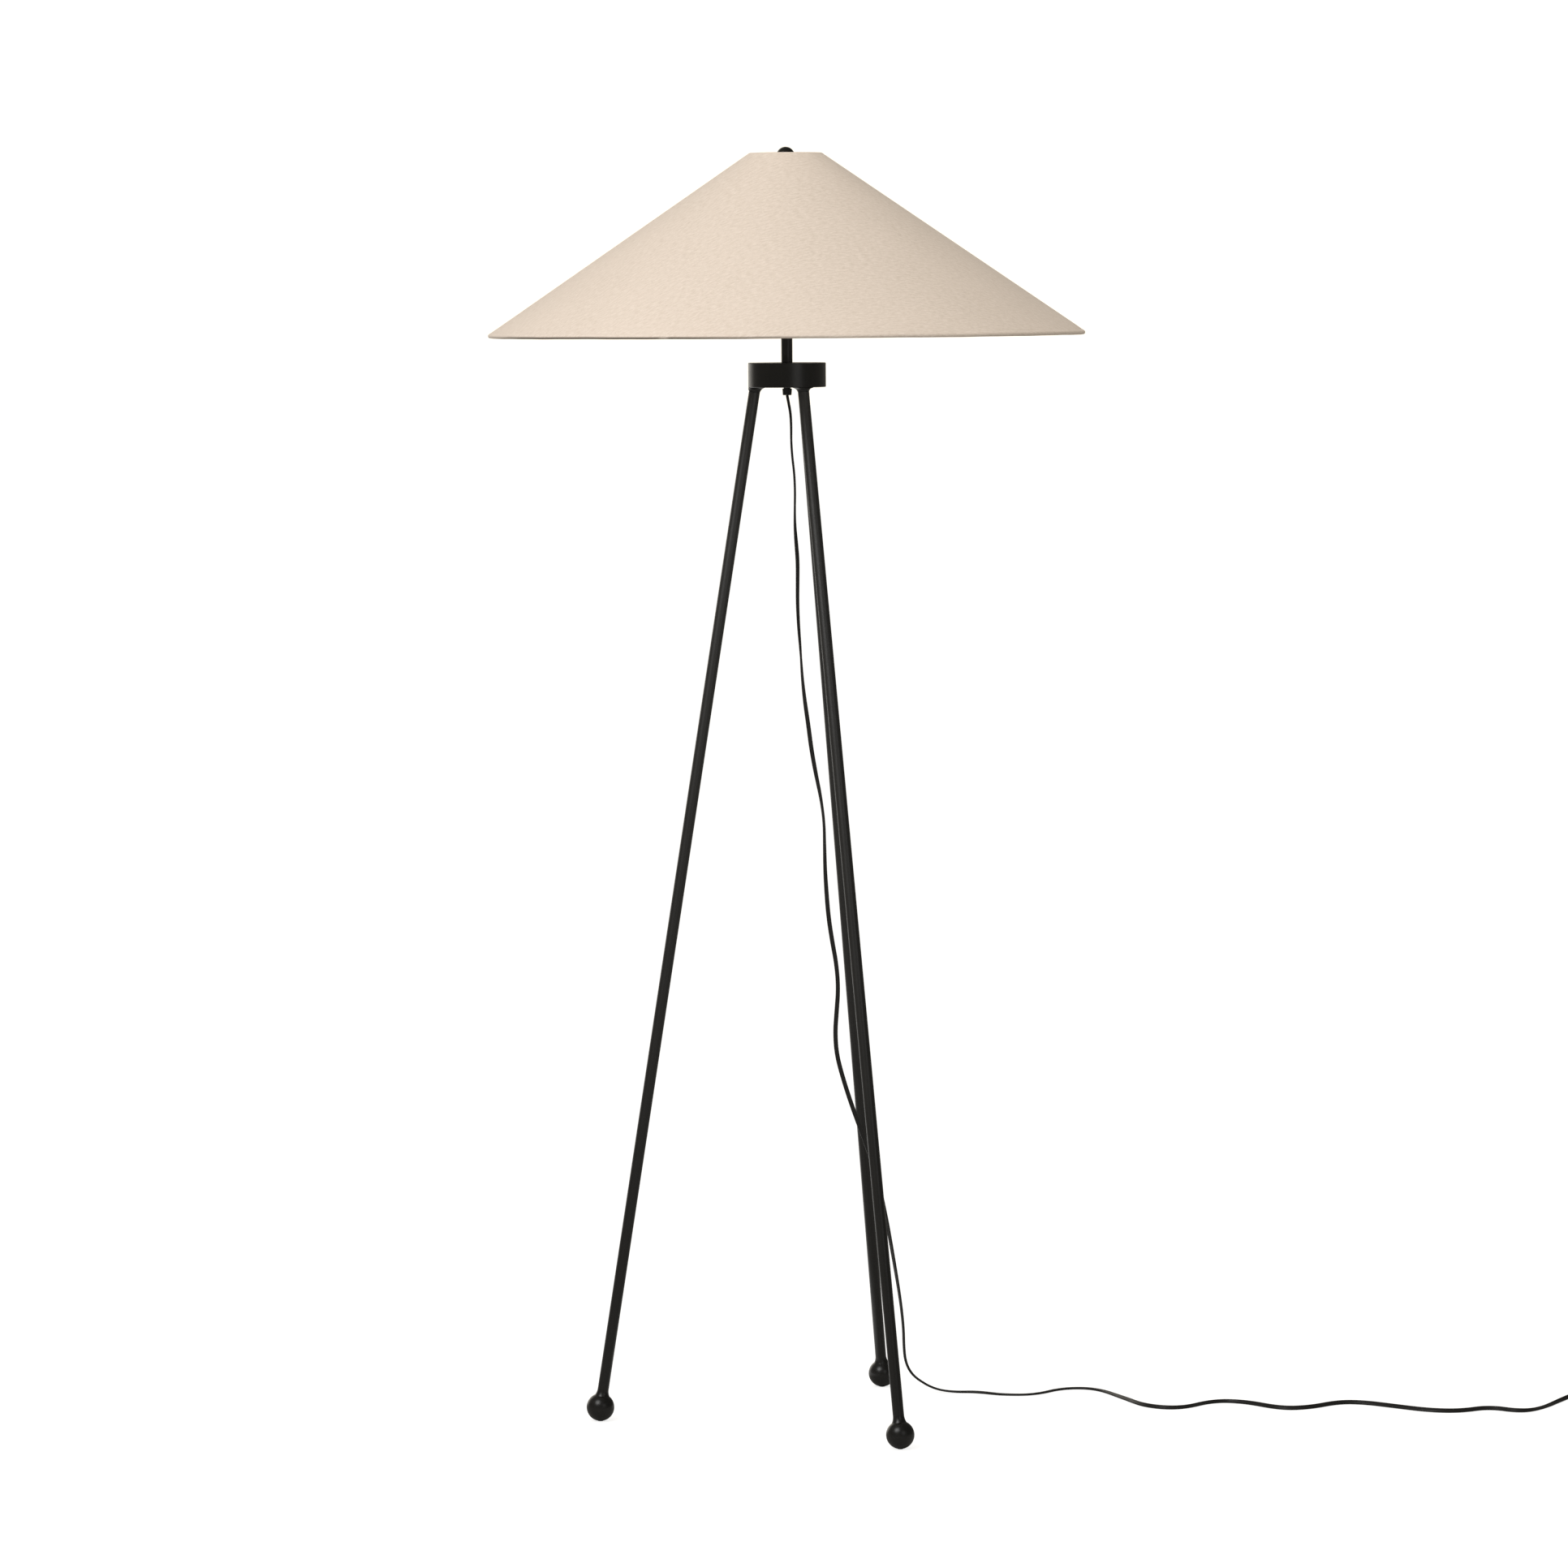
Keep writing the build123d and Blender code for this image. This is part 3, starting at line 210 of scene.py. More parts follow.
# Lamp pipe: a steel tube coated black, which goes up through the hub and carries the grip below.
# Its rolled thread is bare, and one turn of it shows between the hub and the grip.
coat(black_coat, "lamp_pipe")


def make_piece(name, points, faces, finish, uv=None, ends=()):
    """A smooth mesh object at the origin from an array of points and an array of faces, with a
    flat face over each end of a run. A map of the piece has the corners of the end faces last."""
    mesh = bpy.data.meshes.new(name)
    mesh.from_pydata(points.tolist(), [], faces.tolist() + [end.tolist() for end in ends])
    mesh.polygons.foreach_set("use_smooth", np.arange(len(mesh.polygons)) < len(faces))
    if uv is not None:
        mesh.uv_layers.new(name="cut").data.foreach_set("uv", uv.astype(np.float32).ravel())
    mesh.materials.append(finish)
    piece = bpy.data.objects.new(name, mesh)
    bpy.context.scene.collection.objects.link(piece)
    return piece


def ring_faces(rows, columns, wrap_rows=False):
    """Corner rows and columns of the quads of a grid that is closed round its columns. The last
    column is given as its own number, so that a map of the cut can tell it from the first."""
    runs = np.arange(rows if wrap_rows else rows - 1)
    row, column = np.meshgrid(runs, np.arange(columns), indexing="ij")
    row, column = row.ravel(), column.ravel()
    corner_rows = np.stack((row, row, row + 1, row + 1), -1) % rows
    return corner_rows, np.stack((column, column + 1, column + 1, column), -1)


pipe_radius, thread_bottom, thread_pitch, thread_start = 0.004, 1.1783, 0.00094, 0.6
ridge_out, ridge_sunk, ridge_half = 0.0003, 0.00006, 0.00028
turn = np.linspace(0.0, 1.0, 65)[:, None]
grown = np.sin(np.pi * np.clip(turn, 0.03, 0.97)) ** 0.3
thread_radius = pipe_radius + grown * np.array((-ridge_sunk, ridge_out, -ridge_sunk))
thread_high = thread_bottom + thread_pitch * turn + grown * np.array((-ridge_half, 0.0, ridge_half))
thread_angle = 2 * np.pi * turn + thread_start
thread_points = np.stack((
    thread_radius * np.cos(thread_angle), thread_radius * np.sin(thread_angle), thread_high), -1)
face_row, face_column = ring_faces(len(turn), 3)
thread_faces = face_row * 3 + face_column % 3
thread_ends = np.array(((2, 1, 0), (-3, -2, -1))) % (3 * len(turn))
thread = make_piece("pipe_thread", thread_points.reshape(-1, 3), thread_faces, zinc, ends=thread_ends)
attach(thread, "stand")

# Cord grip: a small moulded nylon bush, screwed on the pipe under the hub, where the cord leaves.
# The knob of the switch and the tie of the coil are moulded in the same black nylon.
nylon, tree, shader = start_finish("nylon", (0.014, 0.0138, 0.0135), 0.45, specular=0.35)
flow = add_grain(tree, 300.0, detail=4.0)
mottle(tree, shader, flow, ((0.011, 0.011, 0.011), (0.019, 0.0185, 0.018)), (0.36, 0.55))
add_bump(tree, shader, add_grain(tree, 4000.0), 0.00003)
coat(nylon, "cord_grip", "switch_knob", "cord_tie")

# Harp: a bow of steel wire in a folded saddle, with a threaded stud at its crown and two loose
# sleeves that lock its ends. All but the stud is coated black like the tripod.
coat(black_coat, "harp_saddle", "harp_bow", "harp_sleeve_left", "harp_sleeve_right")
coat(zinc, "harp_stud")

# Lamp holder: a black cap and shell over a fibre paper liner and a moulded core, which carries
# the brass screw shell, the contact, the terminal screws and the spindle of the switch.
coat(black_coat, "socket_cap", "socket_shell")

fibre_paper, tree, shader = start_finish("fibre_paper", (0.40, 0.31, 0.20), 0.85)
fibres = add_grain(tree, 350.0, detail=6.0, stretch=(1.0, 1.0, 4.0))
mottle(tree, shader, fibres, ((0.30, 0.22, 0.13), (0.50, 0.40, 0.27)))
add_bump(tree, shader, fibres, 0.0001)
coat(fibre_paper, "socket_paper")

moulded_core, tree, shader = start_finish("moulded_core", (0.03, 0.024, 0.02), 0.5)
filler = add_grain(tree, 900.0, detail=5.0)
mottle(tree, shader, filler, ((0.020, 0.016, 0.013), (0.048, 0.038, 0.030)))
add_bump(tree, shader, filler, 0.00004)
coat(moulded_core, "socket_core")

brass, tree, shader = start_finish("brass", (0.70, 0.50, 0.20), 0.3, metallic=1.0)
tarnish = add_grain(tree, 160.0, detail=6.0)
mottle(tree, shader, tarnish, ((0.58, 0.38, 0.13), (0.78, 0.59, 0.28)), (0.42, 0.2))
add_bump(tree, shader, add_grain(tree, 6000.0), 0.00001)
coat(brass, "screw_shell", "centre_contact", "terminal_screws", "switch_spindle",
     "plug_blades", "bulb_contact")

# Bulb: a blown glass envelope frosted white inside, cemented into an aluminium screw base with
# a black glass insulator and a tip contact.
bulb_cap, tree, shader = start_finish("bulb_cap", (0.72, 0.72, 0.71), 0.34, metallic=1.0)
rubs = add_grain(tree, 700.0, detail=4.0, stretch=(1.0, 1.0, 3.0))
mottle(tree, shader, rubs, ((0.56, 0.56, 0.55), (0.80, 0.80, 0.79)), (0.45, 0.25))
coat(bulb_cap, "bulb_base")

black_glass, tree, shader = start_finish("black_glass", (0.012, 0.011, 0.012), 0.12)
swirl = add_grain(tree, 200.0)
mottle(tree, shader, swirl, ((0.009, 0.008, 0.009), (0.02, 0.017, 0.018)), (0.08, 0.2))
coat(black_glass, "bulb_insulator")

frosted, tree, shader = start_finish("frosted", (0.88, 0.87, 0.84), 0.3)
powder = add_grain(tree, 90.0, detail=5.0)
mottle(tree, shader, powder, ((0.87, 0.862, 0.84), (0.90, 0.893, 0.872)), (0.28, 0.34))
shader.inputs["Coat Weight"].default_value = 0.4
coat(frosted, "bulb_glass")

# Shade frame and liner: two rings of white coated wire, the upper one with the spider that sits on
# the harp, and a sheet of white styrene, rolled into the cone, which the linen is glued to.
wire_coat, tree, shader = start_finish("wire_coat", (0.80, 0.79, 0.75), 0.4)
runs = add_grain(tree, 150.0, detail=4.0)
mottle(tree, shader, runs, ((0.74, 0.73, 0.69), (0.84, 0.83, 0.80)))
add_bump(tree, shader, runs, 0.0001)
coat(wire_coat, "shade_bottom_ring", "shade_spider")

styrene, tree, shader = start_finish("styrene", (0.84, 0.82, 0.77), 0.5)
clouds = add_grain(tree, 12.0, detail=6.0)
mottle(tree, shader, clouds, ((0.81, 0.785, 0.735), (0.87, 0.85, 0.805)), (0.42, 0.6))
add_bump(tree, shader, add_grain(tree, 1500.0), 0.00005)
coat(styrene, "shade_liner")

# Shade cover: unbleached linen cut as one ring sector, glued to the styrene and rolled over both
# wire rings. Its weft lies straight in the cut, so the threads turn against the slope round the
# cone. Under the front left of the hem the roll's underside is darkened with painted shade.
hem_radius, cloth = 0.0024, 0.0006
bottom_wire, top_wire = np.array((0.3346, 1.2395)), np.array((0.0401, 1.4407))
slope = top_wire - bottom_wire
slant = np.hypot(*slope)
up_slope = slope / slant
out_slope = np.array((up_slope[1], -up_slope[0]))
weft_angle = np.radians(110.6)
roll_start, roll_under, roll_over = 6, 230, 95  # degrees round a wire from the face of the slope
hem_rows, slope_rows, top_rows = 26, 40, 14  # rows of the mesh
hem_reach = 0.012  # from a wire to the first row of the plain slope
top_bead = 0.7  # bead and crease at the top, as a share of those at the bottom


def cover_profile(outside):
    """The cloth's line in radius and height, from the roll under the bottom ring to the top one.
    Round a ring it is an arc; between them it is the slope, with a bead and a crease at each hem."""
    radius = hem_radius if outside else hem_radius - cloth
    facing = np.arctan2(out_slope[1], out_slope[0])
    low_arc = facing - np.radians(np.linspace(roll_under, roll_start, hem_rows))
    high_arc = facing + np.radians(np.linspace(roll_start, roll_over, top_rows))
    from_hem = np.array((0.0, 0.0014, 0.0024, 0.0029, 0.0033, 0.0038, 0.0048, 0.0070))
    proud = np.array((0.0, 0.00008, 0.00005, -0.00006, -0.00018, -0.00006, 0.0, 0.0))
    proud = proud if outside else 0 * proud
    plain = np.linspace(hem_reach, slant - hem_reach, slope_rows)
    run = np.concatenate((from_hem, plain, slant - from_hem[::-1]))
    lift = radius + np.concatenate((proud, 0 * plain, top_bead * proud[::-1]))
    around_low = bottom_wire + radius * np.stack((np.cos(low_arc), np.sin(low_arc)), -1)
    straight = bottom_wire + run[:, None] * up_slope + lift[:, None] * out_slope
    around_high = top_wire + radius * np.stack((np.cos(high_arc), np.sin(high_arc)), -1)
    return np.concatenate((around_low, straight, around_high))


columns = 432
outer_line = cover_profile(True)
profile = np.concatenate((outer_line, cover_profile(False)[::-1]))
azimuth = np.linspace(-np.pi, np.pi, columns + 1)
uneven_waves = ((0.00022, 7, 0.6), (0.00016, 17, 2.1), (0.0001, 41, 0.0))
uneven = sum(size * np.sin(count * azimuth + start) for size, count, start in uneven_waves)
uneven_reach = 0.008
near_hem = np.exp(-((profile[:, 1:] - bottom_wire[1]) / uneven_reach) ** 2)
wide = profile[:, :1] + near_hem * uneven
high = profile[:, 1:] + 0.5 * near_hem * uneven
cover_points = np.stack((wide * np.sin(azimuth), -wide * np.cos(azimuth), high), -1)
face_row, face_column = ring_faces(len(profile), columns, wrap_rows=True)

cone_sine = -up_slope[0]
gone = np.concatenate(((0,), np.cumsum(np.linalg.norm(np.diff(outer_line, axis=0), axis=1))))
from_apex = bottom_wire[0] / cone_sine + gone[hem_rows] - gone
cut_radius = np.concatenate((from_apex, from_apex[::-1]))[face_row]
cut_angle = (azimuth * cone_sine)[face_column] - weft_angle
cover_uv = np.stack((cut_radius * np.cos(cut_angle), cut_radius * np.sin(cut_angle)), -1)

# Painted shade: a dark band in the cloth's colour under the roll of the bottom hem, on its front left, with
# a short lighter gap.
painted_shade_top, painted_shade_fade = bottom_wire[1] + 0.0004, 0.0009
painted_shade_edges = (-80, -62, -26.4, -25.8, -25.0, -24.4, -20, -6, 8)  # degrees round from the front
painted_shade_shares = (0, 1, 1, 0.45, 0.45, 1, 0.95, 0.45, 0)
painted_shade_round = np.interp(np.degrees(azimuth[:columns]), painted_shade_edges, painted_shade_shares)
painted_shade = np.clip((painted_shade_top - profile[:, 1:]) / painted_shade_fade, 0, 1) * painted_shade_round

linen, tree, shader = start_finish("linen", (0.80, 0.69, 0.56), 0.9, specular=0.2)
cut_map = add_node(tree, "ShaderNodeUVMap", uv_map="cut").outputs["UV"]


def add_threads(tree, scale, detail, roughness=0.5):
    """Noise on the cut, with so many lumps to the metre along the weft and along the warp."""
    stretched = add_node(tree, "ShaderNodeMapping", {"Vector": cut_map, "Scale": (*scale, 1.0)})
    noise = add_node(tree, "ShaderNodeTexNoise", {
        "Vector": stretched.outputs["Vector"], "Scale": 1.0, "Detail": detail, "Roughness": roughness})
    return noise.outputs["Fac"]


def add_weave(tree, pitch):
    """Height of a plain weave: half of one plus the product of two sine waves, one along the weft
    and one along the warp, so that each thread goes over and under the others by turns."""
    parts = add_node(tree, "ShaderNodeSeparateXYZ", {"Vector": cut_map}).outputs
    waves = []
    for axis in ("X", "Y"):
        phase = add_maths(tree, "MULTIPLY", parts[axis], np.pi / pitch)
        waves.append(add_maths(tree, "SINE", phase))
    return add_maths(tree, "MULTIPLY_ADD", add_maths(tree, "MULTIPLY", *waves), 0.5, 0.5)


thread_spacing = 0.00055
weave = add_weave(tree, thread_spacing)
slubs = add_threads(tree, (140.0, 400.0), 5.0, 0.72)
warp_slubs = add_threads(tree, (600.0, 110.0), 5.0, 0.7)
flecks = add_threads(tree, (300.0, 640.0), 2.0)
clouds = add_threads(tree, (9.0, 9.0), 3.0)
slubby = spread(tree, slubs, 0.30, 0.66, 0.0, 1.0)
tone = between(tree, slubby, (0.635, 0.54, 0.455), (0.82, 0.725, 0.65))
tone = between(tree, spread(tree, warp_slubs, 0.50, 0.75, 0.0, 0.45), tone, (0.67, 0.575, 0.49))
tone = between(tree, spread(tree, clouds, 0.3, 0.7, 0.0, 0.25), tone, (0.81, 0.705, 0.625))
tone = between(tree, spread(tree, flecks, 0.71, 0.79, 0.0, 0.7), tone, (0.33, 0.255, 0.19))
# Painted shade: the cloth is darkened under the front left of the hem's roll.
painted_shade_fac = add_node(tree, "ShaderNodeAttribute", attribute_name="painted_shade").outputs["Fac"]
tone = between(tree, painted_shade_fac, tone, (0.26, 0.22, 0.18))
tree.links.new(tone, shader.inputs["Base Color"])
shader.inputs["Sheen Weight"].default_value = 0.12
shader.inputs["Sheen Roughness"].default_value = 0.45
add_bump(tree, shader, add_maths(tree, "ADD", weave, slubs), 0.00012, strength=0.7)

cover = make_piece("linen_cover", cover_points[:, :columns].reshape(-1, 3),
                   face_row * columns + face_column % columns, linen, cover_uv)
painted_shade_layer = cover.data.attributes.new("painted_shade", "FLOAT", "POINT")
painted_shade_layer.data.foreach_set("value", painted_shade.astype(np.float32).ravel())
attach(cover, "shade")
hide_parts("shade_cover")

# Lap of the linen: at the back the two ends of the cut overlap by a finger's width. The upper end
# is a strip of the same cloth, glued flat, with a rounded edge that stands a little proud.
lap_rows, lap_half, lap_from_wire = 90, 0.006, 0.0035
lap_run = np.linspace(lap_from_wire, slant - lap_from_wire, lap_rows)
lap_side = np.array((-1.0, -0.5, 0.3, 0.8, 0.95, 1.0, 1.0)) * lap_half
lap_lift = np.array((0.00002, 0.0001, 0.00028, 0.00042, 0.00042, 0.00030, -0.0001))
lap_line = bottom_wire + lap_run[:, None] * up_slope
lap_wide = lap_line[:, :1] + (hem_radius + lap_lift) * out_slope[0]
lap_high = lap_line[:, 1:] + (hem_radius + lap_lift) * out_slope[1]
lap_angle = lap_side / lap_wide
lap_points = np.stack((-lap_wide * np.sin(lap_angle), lap_wide * np.cos(lap_angle), lap_high), -1)
lap_columns = len(lap_side)
row, column = np.meshgrid(np.arange(lap_rows - 1), np.arange(lap_columns - 1), indexing="ij")
corner = (row * lap_columns + column).ravel()
lap_faces = np.stack((corner, corner + 1, corner + 1 + lap_columns, corner + lap_columns), -1)
lap_cut_angle = np.pi * cone_sine + lap_angle * cone_sine - weft_angle
lap_cut_radius = lap_wide / cone_sine
lap_cut = np.stack((lap_cut_radius * np.cos(lap_cut_angle), lap_cut_radius * np.sin(lap_cut_angle)), -1)
lap_uv = lap_cut.reshape(-1, 2)[lap_faces]
lap = make_piece("linen_lap", lap_points.reshape(-1, 3), lap_faces, linen, lap_uv)
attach(lap, "shade")

# Finial: a steel ball, turned in one with a short neck and flange and coated black. It is screwed
# on the harp's stud over the shade, and holds the shade down.
coat(black_coat, "finial")

# Supply cord: flat twin lead, two stranded wires side by side in soft black vinyl. It leaves the
# grip, hangs between the legs with a slow twist, lies on the floor, and its spare end is coiled.
cord_width, cord_thick = 0.0052, 0.0026
cord_rest, coil_low = 0.0027, 0.0038
hanging = np.array((
    (0, 0, 1170.5), (1.5, 0, 1162), (3.7, 0, 1150), (4.4, 1, 1135), (4.2, 1, 1118), (5.4, 2, 1100),
    (7.5, 2, 1082), (8.3, 3, 1062), (7.9, 4, 1042), (7.9, 5, 1022), (9.4, 6, 1002), (10.9, 7, 982),
    (10.7, 8, 960), (10.4, 9, 935), (11.5, 11, 908), (13.7, 12, 880), (15.2, 14, 852), (18, 16, 824),
    (22, 18, 796), (25.4, 20, 768), (30.2, 21, 740), (36, 23, 712), (39.7, 25, 684), (40.2, 28, 656),
    (40.7, 31, 628), (42.3, 33, 600), (44.6, 36, 572), (48.6, 38, 545), (53.5, 41, 518), (55.6, 45, 490),
    (53.7, 50, 462), (52, 54, 438), (53.8, 59, 412), (60.4, 64, 386), (70, 69, 355), (80.6, 74, 325),
    (91.6, 82, 295), (102, 91, 260), (112, 105, 216), (122, 122, 160), (130, 136, 112), (133.8, 144, 78),
    (134.3, 148, 56), (136, 150, 37), (143, 150, 22), (157, 149, 11), (174, 147, 4.2))) / 1000
lying = np.array((
    (192, 142), (217, 142), (250, 119), (286, 117), (322, 158), (361, 153), (387, 86), (408, 30),
    (446, 15), (488, 61), (524, 51), (560, 5), (594, 8), (632, 40), (662, 34), (692, 9), (730, -21),
    (764, -26), (800, -4), (832, -34), (862, -9), (894, 43))) / 1000
to_coil = np.array(((0.920, 0.072, coil_low), (0.938, 0.094, coil_low)))

coil_pitch, coil_inside, coil_middle = 0.0058, 0.024, 2.0
coil_outside = coil_inside + coil_pitch * coil_middle
heading = np.arctan2(*(to_coil[1] - to_coil[0])[1::-1])
coil_first = heading + np.pi / 2 + np.arctan2(coil_pitch, 2 * np.pi * coil_outside)
coil_start = to_coil[1] + cord_width * np.array((np.cos(heading), np.sin(heading), 0))
coil_centre = coil_start - coil_outside * np.array((np.cos(coil_first), np.sin(coil_first), 0))


def coil_line(turn):
    """Places after so many turns: clockwise inwards on the floor, then outwards on top of that.
    The climb of one pitch is in the half turn at the middle."""
    past = turn - coil_middle
    inner = np.abs(past) < 0.25
    radius = coil_inside + coil_pitch * np.where(inner, 2 * past**2 + 0.125, np.abs(past))
    climb = coil_pitch * np.where(inner, (1 + np.sin(2 * np.pi * past)) / 2, past > 0)
    angle = coil_first - 2 * np.pi * turn
    return coil_centre + np.stack((radius * np.cos(angle), radius * np.sin(angle), climb), -1)


coil = coil_line(np.linspace(0, 2 * coil_middle, 61))
tail_way = np.diff(coil_line(2 * coil_middle + np.array((-1e-4, 1e-4))), axis=0)[0]
tail_way /= np.linalg.norm(tail_way)
tail_length, tail_lead, plug_level = 0.036, 0.012, 0.0071
tail_along = np.array((tail_lead, tail_length - tail_lead, tail_length, tail_length + cord_width))
tail = coil[-1] + tail_along[:, None] * tail_way
tail[1:, 2] = plug_level
on_floor = np.column_stack((lying, np.full(len(lying), cord_rest)))
route = np.concatenate((hanging, on_floor, to_coil, coil, tail))


def read_spline(name, points, fineness):
    """Points along a NURBS spline of order 3 that has these control points and starts and ends on
    the first and last of them."""
    curve = bpy.data.curves.new(name, "CURVE")
    curve.dimensions = "3D"
    spline = curve.splines.new("NURBS")
    spline.points.add(len(points) - 1)
    spline.points.foreach_set("co", np.column_stack((points, np.ones(len(points)))).ravel())
    spline.order_u = 3
    spline.use_endpoint_u = True
    spline.resolution_u = fineness
    holder = bpy.data.objects.new(name, curve)
    bpy.context.scene.collection.objects.link(holder)
    bpy.context.view_layer.update()
    line = bpy.data.meshes.new_from_object(holder)
    along = np.empty(3 * len(line.vertices))
    line.vertices.foreach_get("co", along)
    for data in (holder, curve, line):
        bpy.data.batch_remove([data])
    return along.reshape(-1, 3)


way = read_spline("cord_way", route, 9)
step = np.linalg.norm(np.diff(way, axis=0), axis=1)
way = way[np.concatenate(((True,), step > 1e-6))]
so_far = np.concatenate(((0,), np.cumsum(np.linalg.norm(np.diff(way, axis=0), axis=1))))
forward = np.gradient(way, so_far, axis=0)
forward /= np.linalg.norm(forward, axis=1)[:, None]

# The wide side is at so many degrees from the depth of the picture: by height in mm where the cord
# hangs, by the distance to the right in mm where it lies, and upright in the coil.
hang_twist = np.array((
    (20, -10), (110, -20), (250, -62), (363, -80), (459, -80), (497, -56), (535, -72), (573, -75),
    (592, -70), (630, -41), (667, -19), (695, -11), (723, -36), (742, -52), (780, -71), (817, -51),
    (840, -24), (866, -3), (900, 24), (947, 40), (984, 51), (1002, 46), (1030, 8), (1050, 0),
    (1113, 0), (1135, 8), (1170, 18)))
floor_twist = np.array((
    (150, -9), (188, -8), (225, 9), (261, -8), (301, -7), (340, 0), (366, 3), (391, 36), (420, 58),
    (461, 30), (502, 40), (554, 73), (640, 71), (737, 78), (774, 62), (829, 62), (855, 13), (872, 24),
    (900, 66), (930, 90)))
landed = np.argmin(np.linalg.norm(way - (*lying[0], cord_rest), axis=1))
twist = np.where(np.arange(len(way)) < landed, np.interp(1000 * way[:, 2], *hang_twist.T),
                 np.interp(1000 * np.maximum.accumulate(way[:, 0]), *floor_twist.T))
smoothing = np.hanning(13)
smoothing /= smoothing.sum()
twist = np.radians(np.convolve(np.pad(twist, len(smoothing) // 2, "edge"), smoothing, "valid"))
in_coil = so_far > so_far[np.argmin(np.linalg.norm(way - on_floor[-1], axis=1))]
back = np.array((0.0, 1.0, 0.0)) - forward[:, 1:2] * forward
level = np.where(in_coil[:, None], np.cross((0, 0, 1), forward), back)
level /= np.linalg.norm(level, axis=1)[:, None]
rising = np.cross(forward, level)
wide_way = np.cos(twist)[:, None] * level + np.sin(twist)[:, None] * rising
thin_way = np.cross(forward, wide_way)

lobe_reach, groove = np.radians(125), 0.28 * cord_thick
lobe = np.linspace(-lobe_reach, lobe_reach, 12)
lobe_x, lobe_y = cord_thick / 2 * (1 + np.cos(lobe)), cord_thick / 2 * np.sin(lobe)
section_x = np.concatenate((lobe_x, (0,), -lobe_x[::-1], (0,)))
section_y = np.concatenate((lobe_y, (groove,), lobe_y[::-1], (-groove,)))
cord_points = way[:, None] + section_x[:, None] * wide_way[:, None] + section_y[:, None] * thin_way[:, None]
settle_from, floor_gap = 0.012, 0.0001
half_high = way[:, 2] - cord_points[:, :, 2].min(axis=1)
near_floor = np.clip((settle_from - way[:, 2]) / (settle_from - cord_rest), 0, 1)
settle = np.where(in_coil, 0, near_floor) * (half_high + floor_gap - cord_rest)
cord_points[:, :, 2] += settle[:, None]
way[:, 2] += settle

around, girth = len(section_x), 0.014
face_row, face_column = ring_faces(len(way), around)
cord_faces = face_row * around + face_column % around
cord_uv = np.stack((so_far[face_row], face_column / around * girth), -1)
cord_ends = np.stack((np.arange(around)[::-1], np.arange(around) - around)) % (len(way) * around)
cord_uv = np.concatenate((cord_uv.reshape(-1, 2), np.zeros((2 * around, 2))))

vinyl_black = (0.0125, 0.0122, 0.012)
vinyl_tones = ((0.0095, 0.0093, 0.0092), (0.0165, 0.016, 0.0157))
vinyl, tree, shader = start_finish("vinyl", vinyl_black, 0.4, specular=0.35)
drag = add_grain(tree, 1.0, detail=4.0, stretch=(60.0, 900.0, 1.0), place="UV")
mottle(tree, shader, drag, vinyl_tones, (0.32, 0.5))
add_bump(tree, shader, drag, 0.00004)

cord = make_piece("flat_cord", cord_points.reshape(-1, 3), cord_faces, vinyl, cord_uv, cord_ends)
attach(cord, "stand")
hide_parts("supply_cord", "cord_coil")

# Lead in the pipe, plug and tie: the lead goes on up the pipe to the holder in the same black
# vinyl, the plug is moulded on the cord's far end, and a tie holds the coil.
moulded_vinyl, tree, shader = start_finish("moulded_vinyl", vinyl_black, 0.42, specular=0.35)
cloudy = add_grain(tree, 220.0, detail=4.0)
mottle(tree, shader, cloudy, vinyl_tones, (0.34, 0.52))
add_bump(tree, shader, add_grain(tree, 3000.0), 0.00003)
coat(moulded_vinyl, "inner_lead", "lead_tails", "plug_body")

# Studio: a white floor and background, even light all round, a soft key light at the front left and
# a weak one at the front right. What the lamp mirrors is bright behind it and a little to the left,
# and dim elsewhere, most of all at the right.
scene = bpy.context.scene
scene.view_settings.view_transform = "Standard"
bright_way, bright_from, bright_full = (-0.342, 0.94, 0.0), 0.78, 0.98


def background_share(tree, way, dim, bright, seen):
    """How much of its white a place gives to a ray: the seen share to the camera's, and none to
    scattered ones. Mirrored and transmitted rays get the dim share, which rises to the bright one as
    the way to the place, of length 1, comes near the bright way."""
    rays = add_node(tree, "ShaderNodeLightPath").outputs
    indirect = add_maths(tree, "MAXIMUM", rays["Is Glossy Ray"], rays["Is Transmission Ray"])
    nearness = add_node(tree, "ShaderNodeVectorMath", {0: way, 1: bright_way}, operation="DOT_PRODUCT")
    mirrored = spread(tree, nearness.outputs["Value"], bright_from, bright_full, dim, bright)
    from_camera = add_maths(tree, "MULTIPLY", rays["Is Camera Ray"], seen)
    share = add_maths(tree, "MAXIMUM", from_camera, add_maths(tree, "MULTIPLY", indirect, mirrored))
    return share, indirect


world = bpy.data.worlds.new("studio")
scene.world = world
world.use_nodes = True
tree = world.node_tree
ray_way = add_node(tree, "ShaderNodeTexCoord").outputs["Generated"]
to_right = add_node(tree, "ShaderNodeSeparateXYZ", {"Vector": ray_way}).outputs["X"]
dim = spread(tree, to_right, -0.3, 0.6, 0.22, 0.10)
share, indirect = background_share(tree, ray_way, dim, bright=2.0, seen=1.2)
even_light = spread(tree, indirect, 0.0, 1.0, 0.64, 0.0)
background = tree.nodes["Background"].inputs
tree.links.new(add_maths(tree, "MAXIMUM", share, even_light), background["Strength"])
background["Color"].default_value = (1.0, 0.945, 0.845, 1.0)

